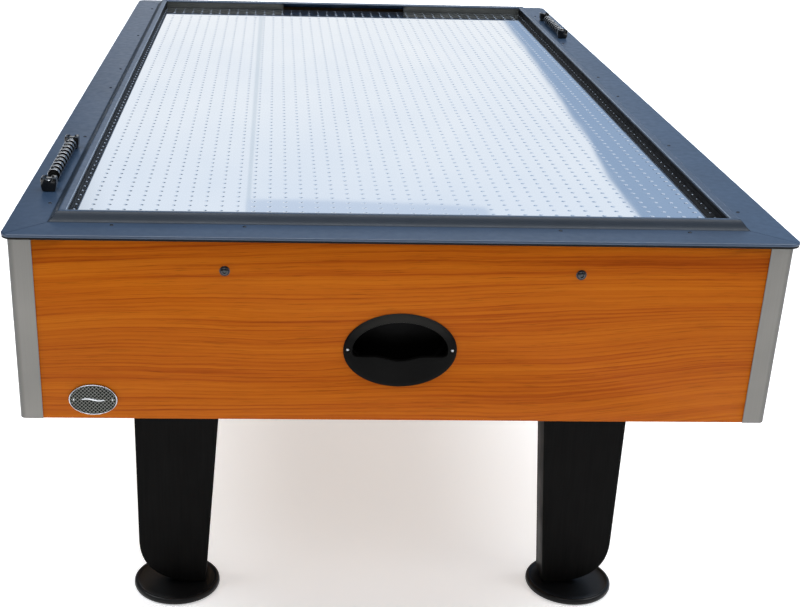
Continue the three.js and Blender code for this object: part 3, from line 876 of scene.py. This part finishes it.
# ---- Fasteners ----------------------------------------------------------------------------
def screw(name, centre, axis, radius, height, recess="cross", steps=40):
    """Domed screw head with a driven recess, its flat side at centre and its dome along axis."""
    profile = [(0, 0), (radius, 0), (radius, height * 0.25)]
    for angle in angles_to(QUARTER_TURN, 6, 1):
        profile.append((radius * math.cos(angle) * 0.999, height * (0.25 + 0.75 * math.sin(angle))))
    profile[-1] = (0, height)
    head = turned(name, profile, (0, 0, 0), "Z", steps)
    depth = height * 0.45
    if recess == "hex":
        hexagon = arc(0, 0, radius * 0.46, 0, 360, 6)[:-1]
        carved(head, prism("recess", hexagon, upright, depth, height + 1))
    else:
        arm, width = radius * 0.62, radius * 0.16
        for low, high in (((-arm, -width), (arm, width)), ((-width, -arm), (width, arm))):
            carved(head, block("recess", (*low, depth), (*high, height + 1)))
    shade(head)
    head.data.transform(Matrix.Translation(Vector(centre) * MM) @ Matrix(POINTING[axis]).to_4x4())
    return head


def scatter(pattern, prefix, places, material, slot):
    """Copies of a part drawn at the origin, one at each place."""
    for index, offset in enumerate(places):
        copy = added(f"{prefix}_{index + 1}", pattern.data.copy())
        copy.data.transform(Matrix.Translation(Vector(offset) * MM))
        dress(copy, material, slot)
    bpy.data.objects.remove(pattern)


SCREW_INSET, SCREWS_ALONG, SCREWS_ACROSS = 36, (98, 515, 932), (240, 439)


def build_deck_screws():
    """Screws down into the rails: three pairs along each side and two pairs across each end."""
    reach_x, reach_y = WELL_X + SCREW_INSET, WELL_Y + SCREW_INSET
    quarters = [(side, end) for side in (-1, 1) for end in (-1, 1)]
    places = [(side * reach_x, end * y, DECK) for side, end in quarters for y in SCREWS_ALONG]
    places += [(side * x, end * reach_y, DECK) for side, end in quarters for x in SCREWS_ACROSS]
    pattern = screw("deck_screw", (0, 0, 0), "Z", radius=3.0, height=1.1)
    scatter(pattern, "deck_screw", places, "black_steel", "leg_black")


BOLT_X, BOLT_Z = 269, 730.6


def build_apron_bolts():
    """A pair of socket-headed bolts on washers, high in each end board."""
    for end, sign in ENDS:
        axis = "Y" if sign > 0 else "-Y"
        face = sign * END_BOARD_HIGH.y
        washer_profile = [(4, 0), (7.9, 0), (7.9, 0.7), (7.4, 1.0), (4, 1.0)]
        washer = turned("bolt_washer", washer_profile, (0, face + sign * 0.05, 0), axis, 48)
        head = screw("bolt_head", (0, face + sign * 1.1, 0), axis, 6.6, 4.2, recess="hex", steps=48)
        places = [(-BOLT_X, 0, BOLT_Z), (BOLT_X, 0, BOLT_Z)]
        scatter(washer, end + "_bolt_washer", places, "black_steel", "leg_black")
        scatter(head, end + "_bolt_head", places, "black_steel", "leg_black")


# ---- Cabinet ------------------------------------------------------------------------------
def outward_split(obj, axis, sign, inner_material):
    """Gives every face but the outward one along axis a second material."""
    obj.data.materials.append(MATERIALS[inner_material])
    for face in obj.data.polygons:
        if face.normal[axis] * sign < 0.3:
            face.material_index = 1


def build_boards():
    """The four cabinet boards, veneered outside and raw inside, and the raw bottom panel."""
    for node, axis, sign in (("left_side_board", 0, -1), ("right_side_board", 0, 1),
                             ("near_end_board", 1, -1), ("far_end_board", 1, 1)):
        board = eased(node, 0.6, 2)
        dress(board, "cherry", "cherry_laminate", replaces=[node])
        outward_split(board, axis, sign, "board")
    panel = eased("bottom_panel", 0.6, 1)
    dress(panel, "board", "raw_board", replaces=["bottom_panel"])


def trim_outline():
    """Plan of the far right corner trim: an angle with a rounded corner and eased edges."""
    wall, radius, leg = 1.5, 10, 36
    x, y = TRIM_HIGH.x, TRIM_HIGH.y
    cx, cy = x - radius, y - radius
    lip = 0.5
    return [
        (x - leg, y - wall + 0.1),
        *arc(cx, cy, radius - wall, 90, 0, 16),
        (x - wall + 0.1, y - leg),
        *arc(x - lip, y - leg + lip, lip, -90, 0, 3),
        *arc(cx, cy, radius, 0, 90, 20),
        *arc(x - leg + lip, y - lip, lip, 90, 180, 3),
    ]


def build_trims():
    """An angle over each upright corner of the cabinet."""
    for corner, sign_x, sign_y in CORNERS:
        node = corner + "_corner_trim"
        trim = prism(node + "_body", trim_outline(), upright, TRIM_LOW.z, TRIM_HIGH.z)
        dress(mirrored(trim, sign_x, sign_y), "trim", "corner_silver", replaces=[node])


# ---- Legs and feet ------------------------------------------------------------------------
TOE_HEIGHT, TOE_POWER = 96, 2.6
STUD_BORE, BORE_TOP = 6.3, 72


def leg_outline():
    """Front of a leg: its inner edge drawn in towards the floor, its toe a superellipse."""
    inner_top, inner_bottom = LEG_LOW.x, 320
    across = LEG_HIGH.x - inner_bottom
    toe = []
    for angle in angles_to(QUARTER_TURN, 40, 1):
        out = math.sin(angle) ** (2 / TOE_POWER)
        up = math.cos(angle) ** (2 / TOE_POWER)
        toe.append((inner_bottom + across * out, LEG_LOW.z + TOE_HEIGHT * (1 - up)))
    return [(inner_top, LEG_HIGH.z), (inner_bottom, LEG_LOW.z), *toe, (LEG_HIGH.x, LEG_HIGH.z)]


def foot_profile():
    """Section of a foot: a flat pad with a rolled rim and a raised boss round its stud."""
    radius, top = 80.5, 13
    return [
        (0, 0), (70, 0), (74, 0.4), (77.5, 0.8), (79.6, 2.2), (radius, 4.4), (radius, 7.6), (80.1, 9.6),
        (79.2, 11.2), (77.8, 12.4), (76, top), (74.2, 12.9), (73, 12.2), (72, 11.2), (70.5, 10.7),
        (60, 10.5), (22, 10.5), (17, 11), (14, 12), (12, 13.2), (12, 15.3), (6.2, 15.3), (6.2, 12), (0, 12),
    ]


def stud_profile():
    """Threaded stud: a core with one ridge for each turn."""
    pitch, core, crest = 1.75, 5.1, 6.0
    turns = int((FOOT_HIGH.z - 16) / pitch)
    profile = [(0, 12.2), (core, 12.2)]
    for index in range(turns):
        base = 14 + index * pitch
        profile += [(core, base), (crest, base + 0.7), (crest, base + 0.95), (core, base + pitch * 0.96)]
    profile += [(core, FOOT_HIGH.z - 1), (core - 1, FOOT_HIGH.z), (0, FOOT_HIGH.z)]
    return profile


def build_legs():
    """At each corner, a leg bored for the stud, the foot's disc and the stud."""
    centre = (FOOT_LOW + FOOT_HIGH) / 2
    bore_profile = [(0, 0), (STUD_BORE, 0), (STUD_BORE, BORE_TOP), (0, BORE_TOP)]
    for corner, sign_x, sign_y in CORNERS:
        leg = prism(corner + "_leg_body", leg_outline(), facing_y, LEG_LOW.y, LEG_HIGH.y)
        bevelled(leg, 2.5, segments=3, angle=50)
        carved(leg, turned("stud_bore", bore_profile, (centre.x, centre.y, 0), "Z", 32))
        shade(leg, 30)
        dress(mirrored(leg, sign_x, sign_y), "leg", "leg_black", replaces=[corner + "_leg"])
        place, foot = (sign_x * centre.x, sign_y * centre.y, 0), corner + "_foot"
        disc = turned(foot + "_disc", foot_profile(), place, "Z", 128)
        dress(disc, "foot", "foot_black", foot, [foot])
        stud = turned(foot + "_stud", stud_profile(), place, "Z", 28, 20)
        dress(stud, "steel", "motor_steel", foot)


# ---- Puck cups ----------------------------------------------------------------------------
CUP_CENTRE = (CUP_LOW.z + CUP_HIGH.z) / 2
CUP_HALF_WIDTH, CUP_HALF_HEIGHT = CUP_HIGH.x, (CUP_HIGH.z - CUP_LOW.z) / 2
CUP_FACE = END_BOARD_HIGH.y + 0.3
CUP_DEPTH = 56
MOUTH_RIM, MOUTH_LIP, MOUTH_DIP = 14, 594, 7
CUP_STEPS = 144
CUP_SCREW_X, CUP_SCREW_Z = 81, 605


def mouth_outline():
    """The arched mouth over the low wall, its lower corners rounded and the wall dipped."""
    half_width, half_height = CUP_HALF_WIDTH - MOUTH_RIM, CUP_HALF_HEIGHT - MOUTH_RIM
    low = math.degrees(math.asin((MOUTH_LIP - CUP_CENTRE) / half_height))
    corner_x = half_width * math.cos(math.radians(low))
    corner_turn, corner_run, dip_reach = 9, 8, 42
    start = low + corner_turn
    unit = arc(0, 0, 1, start, 180 - start, 90)
    arch = [(half_width * a, CUP_CENTRE + half_height * b) for a, b in unit]
    straight = corner_x - corner_run

    def wall(x):
        dip = MOUTH_DIP * math.cos(x / dip_reach * QUARTER_TURN) ** 2 if abs(x) < dip_reach else 0
        return MOUTH_LIP - dip

    floor = [(x, wall(x)) for x in np.linspace(-straight, straight, 90)]

    def bend(a, corner, b):
        points = []
        for step in range(1, 10):
            t = step / 10
            points.append(tuple((1 - t) ** 2 * p + 2 * t * (1 - t) * q + t * t * r
                                for p, q, r in zip(a, corner, b)))
        return points

    left = bend(arch[-1], (-corner_x, MOUTH_LIP), floor[0])
    right = bend(floor[-1], (corner_x, MOUTH_LIP), arch[0])
    return arch + left + floor + right


def radial(outline, centre, angle):
    """Where a ray from centre at angle leaves a closed outline."""
    cx, cy = centre
    dx, dy = math.cos(angle), math.sin(angle)
    best = 0
    for (x0, y0), (x1, y1) in zip(outline, outline[1:] + outline[:1]):
        ex, ey = x1 - x0, y1 - y0
        cross = dx * ey - dy * ex
        if abs(cross) < 1e-12:
            continue
        reach = ((x0 - cx) * ey - (y0 - cy) * ex) / cross
        along = ((x0 - cx) * dy - (y0 - cy) * dx) / cross
        if reach > 0 and -1e-9 <= along <= 1 + 1e-9:
            best = max(best, reach)
    return cx + best * dx, cy + best * dy


def cup_flange(sign):
    """The moulded front of a cup: domed towards its rim, pierced by the arched mouth."""
    centre = (0, CUP_CENTRE + 16)
    angles = angles_to(FULL_TURN, CUP_STEPS)[:-1]
    outer_line = oval(0, CUP_CENTRE, CUP_HALF_WIDTH, CUP_HALF_HEIGHT, 360)
    plug_line = oval(0, CUP_CENTRE, CUP_HALF_WIDTH - 5, CUP_HALF_HEIGHT - 5, 360)
    mouth_line = mouth_outline()
    outer = [radial(outer_line, centre, angle) for angle in angles]
    plug = [radial(plug_line, centre, angle) for angle in angles]
    mouth = [radial(mouth_line, centre, angle) for angle in angles]

    def ring(start, end, distance, depth):
        """Ring a set distance from each point of start on its way to end."""
        placed = []
        for (x0, z0), (x1, z1) in zip(start, end):
            share = min(distance / math.hypot(x1 - x0, z1 - z0), 0.9)
            placed.append((x0 + (x1 - x0) * share, sign * depth, z0 + (z1 - z0) * share))
        return placed

    edge, rise, reach, round_off, plug_depth = 0.5, 3.4, 9.0, 1.4, 4
    rings = [ring(outer, mouth, 0, CUP_FACE), ring(outer, mouth, 0, CUP_FACE + edge)]
    for step in range(1, 11):
        share = step / 10
        height = edge + (rise - edge) * math.sqrt(1 - (1 - share) ** 2)
        rings.append(ring(outer, mouth, 0.3 + reach * share, CUP_FACE + height))
    for angle in angles_to(QUARTER_TURN, 6):
        fall = round_off * (1 - math.cos(angle))
        rings.append(ring(mouth, outer, round_off * (1 - math.sin(angle)), CUP_FACE + rise - fall))
    rings.append(ring(mouth, outer, 0, CUP_FACE - plug_depth))
    rings.append([(x, sign * (CUP_FACE - plug_depth), z) for x, z in plug])
    rings.append([(x, sign * CUP_FACE, z) for x, z in plug])
    return loft("cup_flange", rings, tube=True)


def cup_tub(sign):
    """The pocket behind a cup's face, open towards it and above, where the puck drops in."""
    back, front = CUP_FACE - 0.3 - CUP_DEPTH, CUP_FACE - 4.1

    def ring(inset, depth):
        line = oval(0, CUP_CENTRE, CUP_HALF_WIDTH - inset, CUP_HALF_HEIGHT - inset, CUP_STEPS)
        return [(x, sign * depth, z) for x, z in line]

    rings = []
    inner, outer, bend = 7.5, 5, 8
    for angle in angles_to(QUARTER_TURN, 6):
        rings.append(ring(inner + bend * (1 - math.sin(angle)),
                          back + inner - outer + bend * (1 - math.cos(angle))))
    rings += [ring(inner, front), ring(outer, front)]
    for angle in angles_to(QUARTER_TURN, 6):
        rings.append(ring(outer + bend * (1 - math.cos(angle)), back + bend * (1 - math.sin(angle))))
    tub = loft("cup_tub", rings)
    drop_half, drop_from, drop_to = CUP_HALF_WIDTH - 14, CUP_CENTRE + 18, CUP_CENTRE + 70
    low_y, high_y = sorted((sign * (back + 2.6), sign * (END_BOARD_LOW.y - 1)))
    carved(tub, block("drop_cutter", (-drop_half, low_y, drop_from), (drop_half, high_y, drop_to)))
    shade(tub)
    return tub


def build_cups():
    """Both cups: a face with its recessed screws, and the tub behind it."""
    for end, sign in ENDS:
        flange = cup_flange(sign)
        axis = "Y" if sign > 0 else "-Y"
        places = [(-CUP_SCREW_X, 0, CUP_SCREW_Z), (CUP_SCREW_X, 0, CUP_SCREW_Z)]
        for x, _, z in places:
            floor = sign * (CUP_FACE + 1.0)
            recess = turned("recess", [(0, 0), (3.4, 0), (3.8, 6), (0, 6)], (x, floor, z), axis, 32)
            carved(flange, recess)
        shade(flange)
        node = end + "_return_cup"
        dress(flange, "cup_face", "cup_black", replaces=[node])
        dress(cup_tub(sign), "cup", "cup_black")
        flange.name = end + "_cup_face"
        bpy.data.objects["cup_tub"].name = end + "_cup_tub"
        pattern = screw("cup_screw", (0, sign * (CUP_FACE + 1.05), 0), axis, radius=2.5, height=1.4)
        scatter(pattern, end + "_cup_screw", places, "steel", "motor_steel")


# ---- Badge --------------------------------------------------------------------------------
BADGE_HALF_X, BADGE_HALF_Z = (BADGE_HIGH.x - BADGE_LOW.x) / 2, (BADGE_HIGH.z - BADGE_LOW.z) / 2
BADGE_BACK, BADGE_FRONT = BADGE_HIGH.y, BADGE_LOW.y
BADGE_TOP, GROOVE_DEPTH = BADGE_BACK - 1.0, 0.5
BADGE_LEVELS, BADGE_AROUND = 70, 300
BAR_LENGTH, RIVET_OFFSET = 40, 30


def badge_rim():
    """The half-round chrome rim."""
    def ring(inset, depth):
        line = oval(BADGE_X, BADGE_Z, BADGE_HALF_X - inset, BADGE_HALF_Z - inset, 128)
        return [(x, depth, z) for x, z in line]

    rings = []
    for angle in angles_to(math.pi, 8):
        height = 0.6 + (BADGE_BACK - BADGE_FRONT - 0.6) * math.sin(angle)
        rings.append(ring(1 - math.cos(angle), BADGE_BACK - height))
    rings += [ring(2.0, BADGE_BACK - 0.3), ring(0, BADGE_BACK - 0.3)]
    return loft("badge_rim", rings, tube=True)


def badge_face():
    """The flat oval inside the rim, cut with two crossing sets of sloping grooves."""
    around = BADGE_AROUND
    points, faces = [(BADGE_X, BADGE_TOP, BADGE_Z)], []
    for level in range(1, BADGE_LEVELS + 1):
        share = level / BADGE_LEVELS
        for angle in angles_to(FULL_TURN, around)[:-1]:
            x = (BADGE_HALF_X - 2.1) * share * math.cos(angle)
            z = (BADGE_HALF_Z - 2.1) * share * math.sin(angle)
            weave = min(abs((line / BADGE_PITCH) % 1 - 0.5) for line in (x + z, x - z)) * 2
            groove = 0 if share > 0.95 else GROOVE_DEPTH * min(1.6 * weave, 1)
            points.append((BADGE_X + x, BADGE_TOP - groove, BADGE_Z + z))
    for step in range(around):
        faces.append((0, 1 + step, 1 + (step + 1) % around))
    for level in range(BADGE_LEVELS - 1):
        faces += skirt(1 + level * around, 1 + (level + 1) * around, around)
    last, rear = 1 + (BADGE_LEVELS - 1) * around, len(points)
    points += [(x, BADGE_BACK - 0.35, z) for x, _, z in points[last:rear]]
    faces += skirt(last, rear, around)
    faces.append(tuple(range(rear, rear + around)))
    return make("badge_face", points, faces, 25)


def badge_bar():
    """A wavy raised bar across the badge, thin at both ends."""
    rings = []
    for step in range(25):
        share = step / 24
        swell = math.sin(math.pi * share) ** 0.6
        x = BADGE_X - BAR_LENGTH / 2 + BAR_LENGTH * share
        rise = BADGE_Z + 1.6 * math.sin(FULL_TURN * share)
        thick = 0.25 + 1.35 * swell
        rings.append([(x, BADGE_TOP - 0.3 - 0.6 * swell * max(0, math.cos(angle)),
                       rise + thick * math.sin(angle)) for angle in angles_to(FULL_TURN, 12)[:-1]])
    return loft("badge_bar", rings)


def build_badge():
    """The oval badge low on the near end board, with two rivets."""
    dress(badge_rim(), "chrome", "badge_pewter", replaces=["badge"])
    dress(badge_face(), "badge_face", "badge_pewter")
    dress(badge_bar(), "chrome", "badge_pewter")
    profile = [(0, 0), (1.5, 0), (1.45, 0.4), (1.0, 0.9), (0.5, 1.1), (0, 1.15)]
    for index, offset in enumerate((-RIVET_OFFSET, RIVET_OFFSET)):
        place = (BADGE_X + offset, BADGE_TOP - 0.1, BADGE_Z)
        dress(turned(f"badge_rivet_{index + 1}", profile, place, "-Y", 24), "chrome", "badge_pewter")


# ---- Scorers ------------------------------------------------------------------------------
def block_outline(x, base, top):
    """End view of a scorer block: upright sides drawn in to a narrow rounded foot."""
    half, foot, knee, round_off = 12, 8, 10, 1.5
    right = [(foot + (half - foot) * math.sin(a), base + knee * (1 - math.cos(a)))
             for a in np.linspace(0, math.pi / 2, 9)]
    cap = arc(half - round_off, top - round_off, round_off, 0, 90, 4)
    side = right + cap
    return [(x + a, b) for a, b in side] + [(x - a, b) for a, b in reversed(side)]


BOWL_REACH = (9.6, 12.6, 6.6)
SCORER_BLOCK = 22
ROD_INSET, ROD_RADIUS = 19, 2.4
BEADS = 10


def scorer_block(name, x, y_low, y_high, base, top):
    """An end block with a hollow bowl in its top, round the screw that holds it down."""
    body = prism(name, block_outline(x, base, top), facing_y, y_low, y_high)
    bevelled(body, 0.9, 2, 50)
    middle = (y_low + y_high) / 2
    lower = [(math.sin(angle), -math.cos(angle)) for angle in np.linspace(0, math.pi / 2, 15)]
    bowl = [(0, -1)] + lower[1:] + [(1, 1), (0, 1)]
    cutter = turned("bowl_cutter", bowl, (0, 0, 0), "Z", 64)
    cutter.data.transform(Matrix.Diagonal((*BOWL_REACH, 1)))
    cutter.data.transform(Matrix.Translation(Vector((x, middle, top)) * MM))
    carved(body, cutter)
    shade(body)
    return body


BEAD_RIM, BEAD_BORE = 4.6, 3.1


def bead_profile(half, radius, bore):
    """Disc bead from its bore outward: a slim hub at each end, steep flanks and a rounded rim."""
    hub, flank = 5.5, 7.2
    profile = [(bore, -half), (hub - 0.5, -half), (hub, 0.5 - half), (hub, -flank)]
    for angle in angles_to(math.pi, 12):
        along, up = -math.cos(angle), math.sin(angle)
        profile.append((radius - 1.3 + 1.3 * up, BEAD_RIM * math.copysign(abs(along) ** 0.8, along)))
    profile += [(hub, flank), (hub, half - 0.5), (hub - 0.5, half), (bore, half)]
    return profile


def build_scorers():
    """On each long rail: two blocks with their screws, the rod between them and ten beads."""
    for side, sign in SIDES:
        low, high = box_mm(side + "_scorer_frame")
        x = (low.x + high.x) / 2
        labels = ("inner", "outer") if sign > 0 else ("outer", "inner")
        for label, y_low in zip(labels, (low.y, high.y - SCORER_BLOCK)):
            name = f"{side}_scorer_{label}_block"
            piece = scorer_block(name, x, y_low, y_low + SCORER_BLOCK, low.z, high.z)
            dress(piece, "scorer", "scorer_black",
                  replaces=[side + "_scorer_frame"] if label == labels[0] else ())
            seat = (x, y_low + SCORER_BLOCK / 2, high.z - BOWL_REACH[2] + 0.1)
            dress(screw(name + "_screw", seat, "Z", 3.2, 2.2), "steel", "motor_steel")
        bead_low, bead_high = box_mm(side + "_bead_1")
        half, radius = (bead_high.y - bead_low.y) / 2, (bead_high.z - bead_low.z) / 2
        length = high.y - low.y - 2 * ROD_INSET
        start = (x, low.y + ROD_INSET, (bead_low.z + bead_high.z) / 2)
        rod_profile = [(0, 0), (ROD_RADIUS, 0), (ROD_RADIUS, length), (0, length)]
        dress(turned(side + "_scorer_rod", rod_profile, start, "Y", 24), "steel", "motor_steel")
        for index in range(1, BEADS + 1):
            build_bead(f"{side}_bead_{index}", half, radius)


def build_bead(node, half, radius):
    """One bead on its own slide, glossy round its rim; its flanks and hub take a darker, duller copy of the
    plastic as painted shade.
    """
    centre = middle_mm(node)
    bead = turned(node + "_body", bead_profile(half, radius, BEAD_BORE), centre, "Y", 56)
    dress(bead, "bead", "bead_black", node, [node])
    # Painted shade: the flanks and hub get the darker copy of the plastic.
    bead.data.materials.append(MATERIALS["bead_flank_painted_shade"])
    for face in bead.data.polygons:
        if abs(face.center.y / MM - centre.y) > BEAD_RIM - 0.3:
            face.material_index = 1


# ---- Controls -----------------------------------------------------------------------------
def build_controls():
    """The mains inlet with its screws, and the power switch."""
    for node, width, slot, material in (("mains_inlet", 0.4, "cup_black", "cup"),
                                        ("switch_housing", 0.4, "cup_black", "cup"),
                                        ("switch_rocker", 0.7, "scorer_black", "scorer")):
        piece = eased(node, width, 2)
        body = node if node == "switch_rocker" else TABLE
        dress(piece, material, slot, body, [node])
    _, high = box_mm("mains_inlet")
    _, y, z = middle_mm("mains_inlet")
    pattern = screw("inlet_screw", (high.x + 0.05, 0, 0), "X", radius=2.2, height=1.1)
    spread = 21.5
    scatter(pattern, "inlet_screw", [(0, y - spread, z), (0, y + spread, z)], "steel", "motor_steel")


# ---- Underside and inside -----------------------------------------------------------------
def build_underside():
    """The grille, the bottom panel's screws, the beams and chutes, and the hidden parts' materials."""
    grille = eased("intake_grille", 0.8, 2)
    dress(grille, "fan", "fan_plastic", replaces=["intake_grille"])
    low, high = box_mm("intake_grille")
    grille_inset, panel_inset = 5, 12
    reach = high.x - grille_inset
    places = [(reach * math.cos(a), reach * math.sin(a), low.z) for a in np.radians((45, 135, 225, 315))]
    pattern = screw("grille_screw", (0, 0, 0), "-Z", radius=3.0, height=1.4)
    scatter(pattern, "grille_screw", places, "black_steel", "leg_black")
    panel_low, panel_high = box_mm("bottom_panel")
    edge_x, edge_y = panel_high.x - panel_inset, panel_high.y - panel_inset
    places = [(side * edge_x, y, panel_low.z) for side in (-1, 1) for y in np.linspace(-900, 900, 7)]
    places += [(x, end * edge_y, panel_low.z) for end in (-1, 1) for x in np.linspace(-450, 450, 4)]
    pattern = screw("panel_screw", (0, 0, 0), "-Z", radius=3.6, height=1.5)
    scatter(pattern, "panel_screw", places, "steel", "motor_steel")
    for end, _ in ENDS:
        beam = eased(end + "_leg_beam", 1.5, 2)
        dress(beam, "softwood", "plain_wood", replaces=[end + "_leg_beam"])
        chute = eased(end + "_goal_chute", 0.4, 1)
        dress(chute, "chute", "chute_plastic", replaces=[end + "_goal_chute"])
    for node, material in (("air_chamber", "softwood"), ("fan_housing", "fan"), ("fan_motor", "steel"),
                           ("fan_impeller", "fan")):
        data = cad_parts[node].data
        data.materials.clear()
        data.materials.append(MATERIALS[material])


# ---- Room, lights and camera --------------------------------------------------------------
def build_floor():
    """A very wide pale floor that gives off a little light of its own."""
    half = 40000
    corners = [(-half, -half, 0), (half, -half, 0), (half, half, 0), (-half, half, 0)]
    floor = make("floor", corners, [(0, 1, 2, 3)])
    recipe = Recipe("pale_floor", roughness=0.9)
    tone = recipe.noise(recipe.place, 0.8, 3)
    recipe.colour(recipe.shades(tone, (0.93, 0.93, 0.93), (0.95, 0.95, 0.95)))
    recipe.shader.inputs["Emission Color"].default_value = (1, 1, 1, 1)
    recipe.shader.inputs["Emission Strength"].default_value = 0.42
    floor.data.materials.append(recipe.material)


SKY_STOPS = ((0.0, (0.30, 0.33, 0.37)), (0.07, (0.45, 0.48, 0.52)), (0.13, (0.97, 0.985, 1.0)),
             (0.35, (0.75, 0.83, 0.94)), (0.44, (0.17, 0.25, 0.38)), (1.0, (0.12, 0.18, 0.29)))
POST_COLOUR, HEADER_COLOUR, RIGHT_COLOUR = (0.30, 0.42, 0.52), (0.61, 0.70, 0.84), (0.30, 0.41, 0.58)
LEFT_COLOUR, BEHIND_COLOUR, STRIP_COLOUR = (0.10, 0.12, 0.15), (0.10, 0.105, 0.11), (6.2, 6.3, 6.4)


def build_world():
    """A bright room, near-white at eye level and bluer overhead. Ahead it has a post, a paler header
    and a grey-blue right side, to the left and behind it is dark, and a strip light hangs above."""
    world = bpy.data.worlds.new("studio")
    bpy.context.scene.world = world
    room = Nodes(world, "Generated")
    between, product, maths = room.between, room.product, room.maths
    x, y, z = room.axes()
    ahead = between(y, 0.0, 0.25)
    low = between(z, 0.72, 0.60)
    ripple = maths("SUBTRACT", room.noise(room.place, 9, 4), 0.5)
    edge = maths("SUBTRACT", x, product(z, 0.78))
    edge = maths("ADD", edge, product(ripple, 0.03))
    right = product(between(edge, 0.037, 0.043), ahead)
    left = product(between(product(x, -1), 0.115, 0.21), ahead, low, 0.9)
    behind = product(between(y, 0.15, -0.2), low, 0.9)
    inside = product(between(x, -0.024, -0.018), between(edge, -0.064, -0.074))
    header = product(between(z, 0.289, 0.2915), inside, ahead)
    lean = maths("ABSOLUTE", maths("ADD", x, product(z, 0.068)))
    post = product(between(lean, 0.0022, 0.0008), ahead, 0.28)
    across = between(maths("ABSOLUTE", y), 0.30, 0.22)
    strip = product(across, between(z, 0.20, 0.40), between(maths("ABSOLUTE", x), 0.75, 0.60))

    colour = room.ramp(z, SKY_STOPS)
    for share, tint in ((post, POST_COLOUR), (header, HEADER_COLOUR), (right, RIGHT_COLOUR),
                        (left, LEFT_COLOUR), (behind, BEHIND_COLOUR), (strip, STRIP_COLOUR)):
        colour = room.mix(share, colour, tint)
    background = room.tree.nodes["Background"]
    room.link(colour, background.inputs["Color"])
    background.inputs["Strength"].default_value = 0.95


def area_light(name, location, target, size, power):
    data = bpy.data.lights.new(name, "AREA")
    data.shape = "RECTANGLE"
    data.size, data.size_y = size
    data.energy = power
    light = added(name, data)
    light.location = location
    direction = Vector(target) - Vector(location)
    light.rotation_euler = direction.to_track_quat("-Z", "Y").to_euler()


def build_lights():
    area_light("key_softbox", (-0.8, -3.8, 3.4), (0, -0.6, 0.5), (2.4, 1.8), 26)
    area_light("fill_softbox", (3.0, -2.6, 2.2), (0, -0.6, 0.6), (2.0, 2.0), 13)


CAMERA = {"location": (-0.1943, -2.9653, 1.4140), "yaw": 2.637, "pitch": 24.831, "roll": 1.557,
          "lens": 60.0, "shift": (0.0882, 0.1044)}


def build_camera():
    data = bpy.data.cameras.new("camera")
    camera = added("camera", data)
    yaw, pitch, roll = (math.radians(CAMERA[key]) for key in ("yaw", "pitch", "roll"))
    forward = Vector((math.sin(yaw) * math.cos(pitch), math.cos(yaw) * math.cos(pitch), -math.sin(pitch)))
    level = Vector((math.cos(yaw), -math.sin(yaw), 0))
    up = level.cross(forward)
    right = level * math.cos(roll) + up * math.sin(roll)
    up = right.cross(forward)
    turn = Matrix((right, up, -forward)).transposed()
    camera.matrix_world = Matrix.Translation(CAMERA["location"]) @ turn.to_4x4()
    data.lens = CAMERA["lens"]
    data.sensor_width = 36
    data.shift_x, data.shift_y = CAMERA["shift"]
    data.clip_end = 200
    bpy.context.scene.camera = camera


build_camera()
build_floor()
build_world()
build_lights()
bpy.context.scene.view_settings.view_transform = "Standard"
perforated_sheet()
build_rails()
build_deck_screws()
build_boards()
build_apron_bolts()
build_trims()
build_legs()
build_cups()
build_badge()
build_scorers()
build_controls()
build_underside()
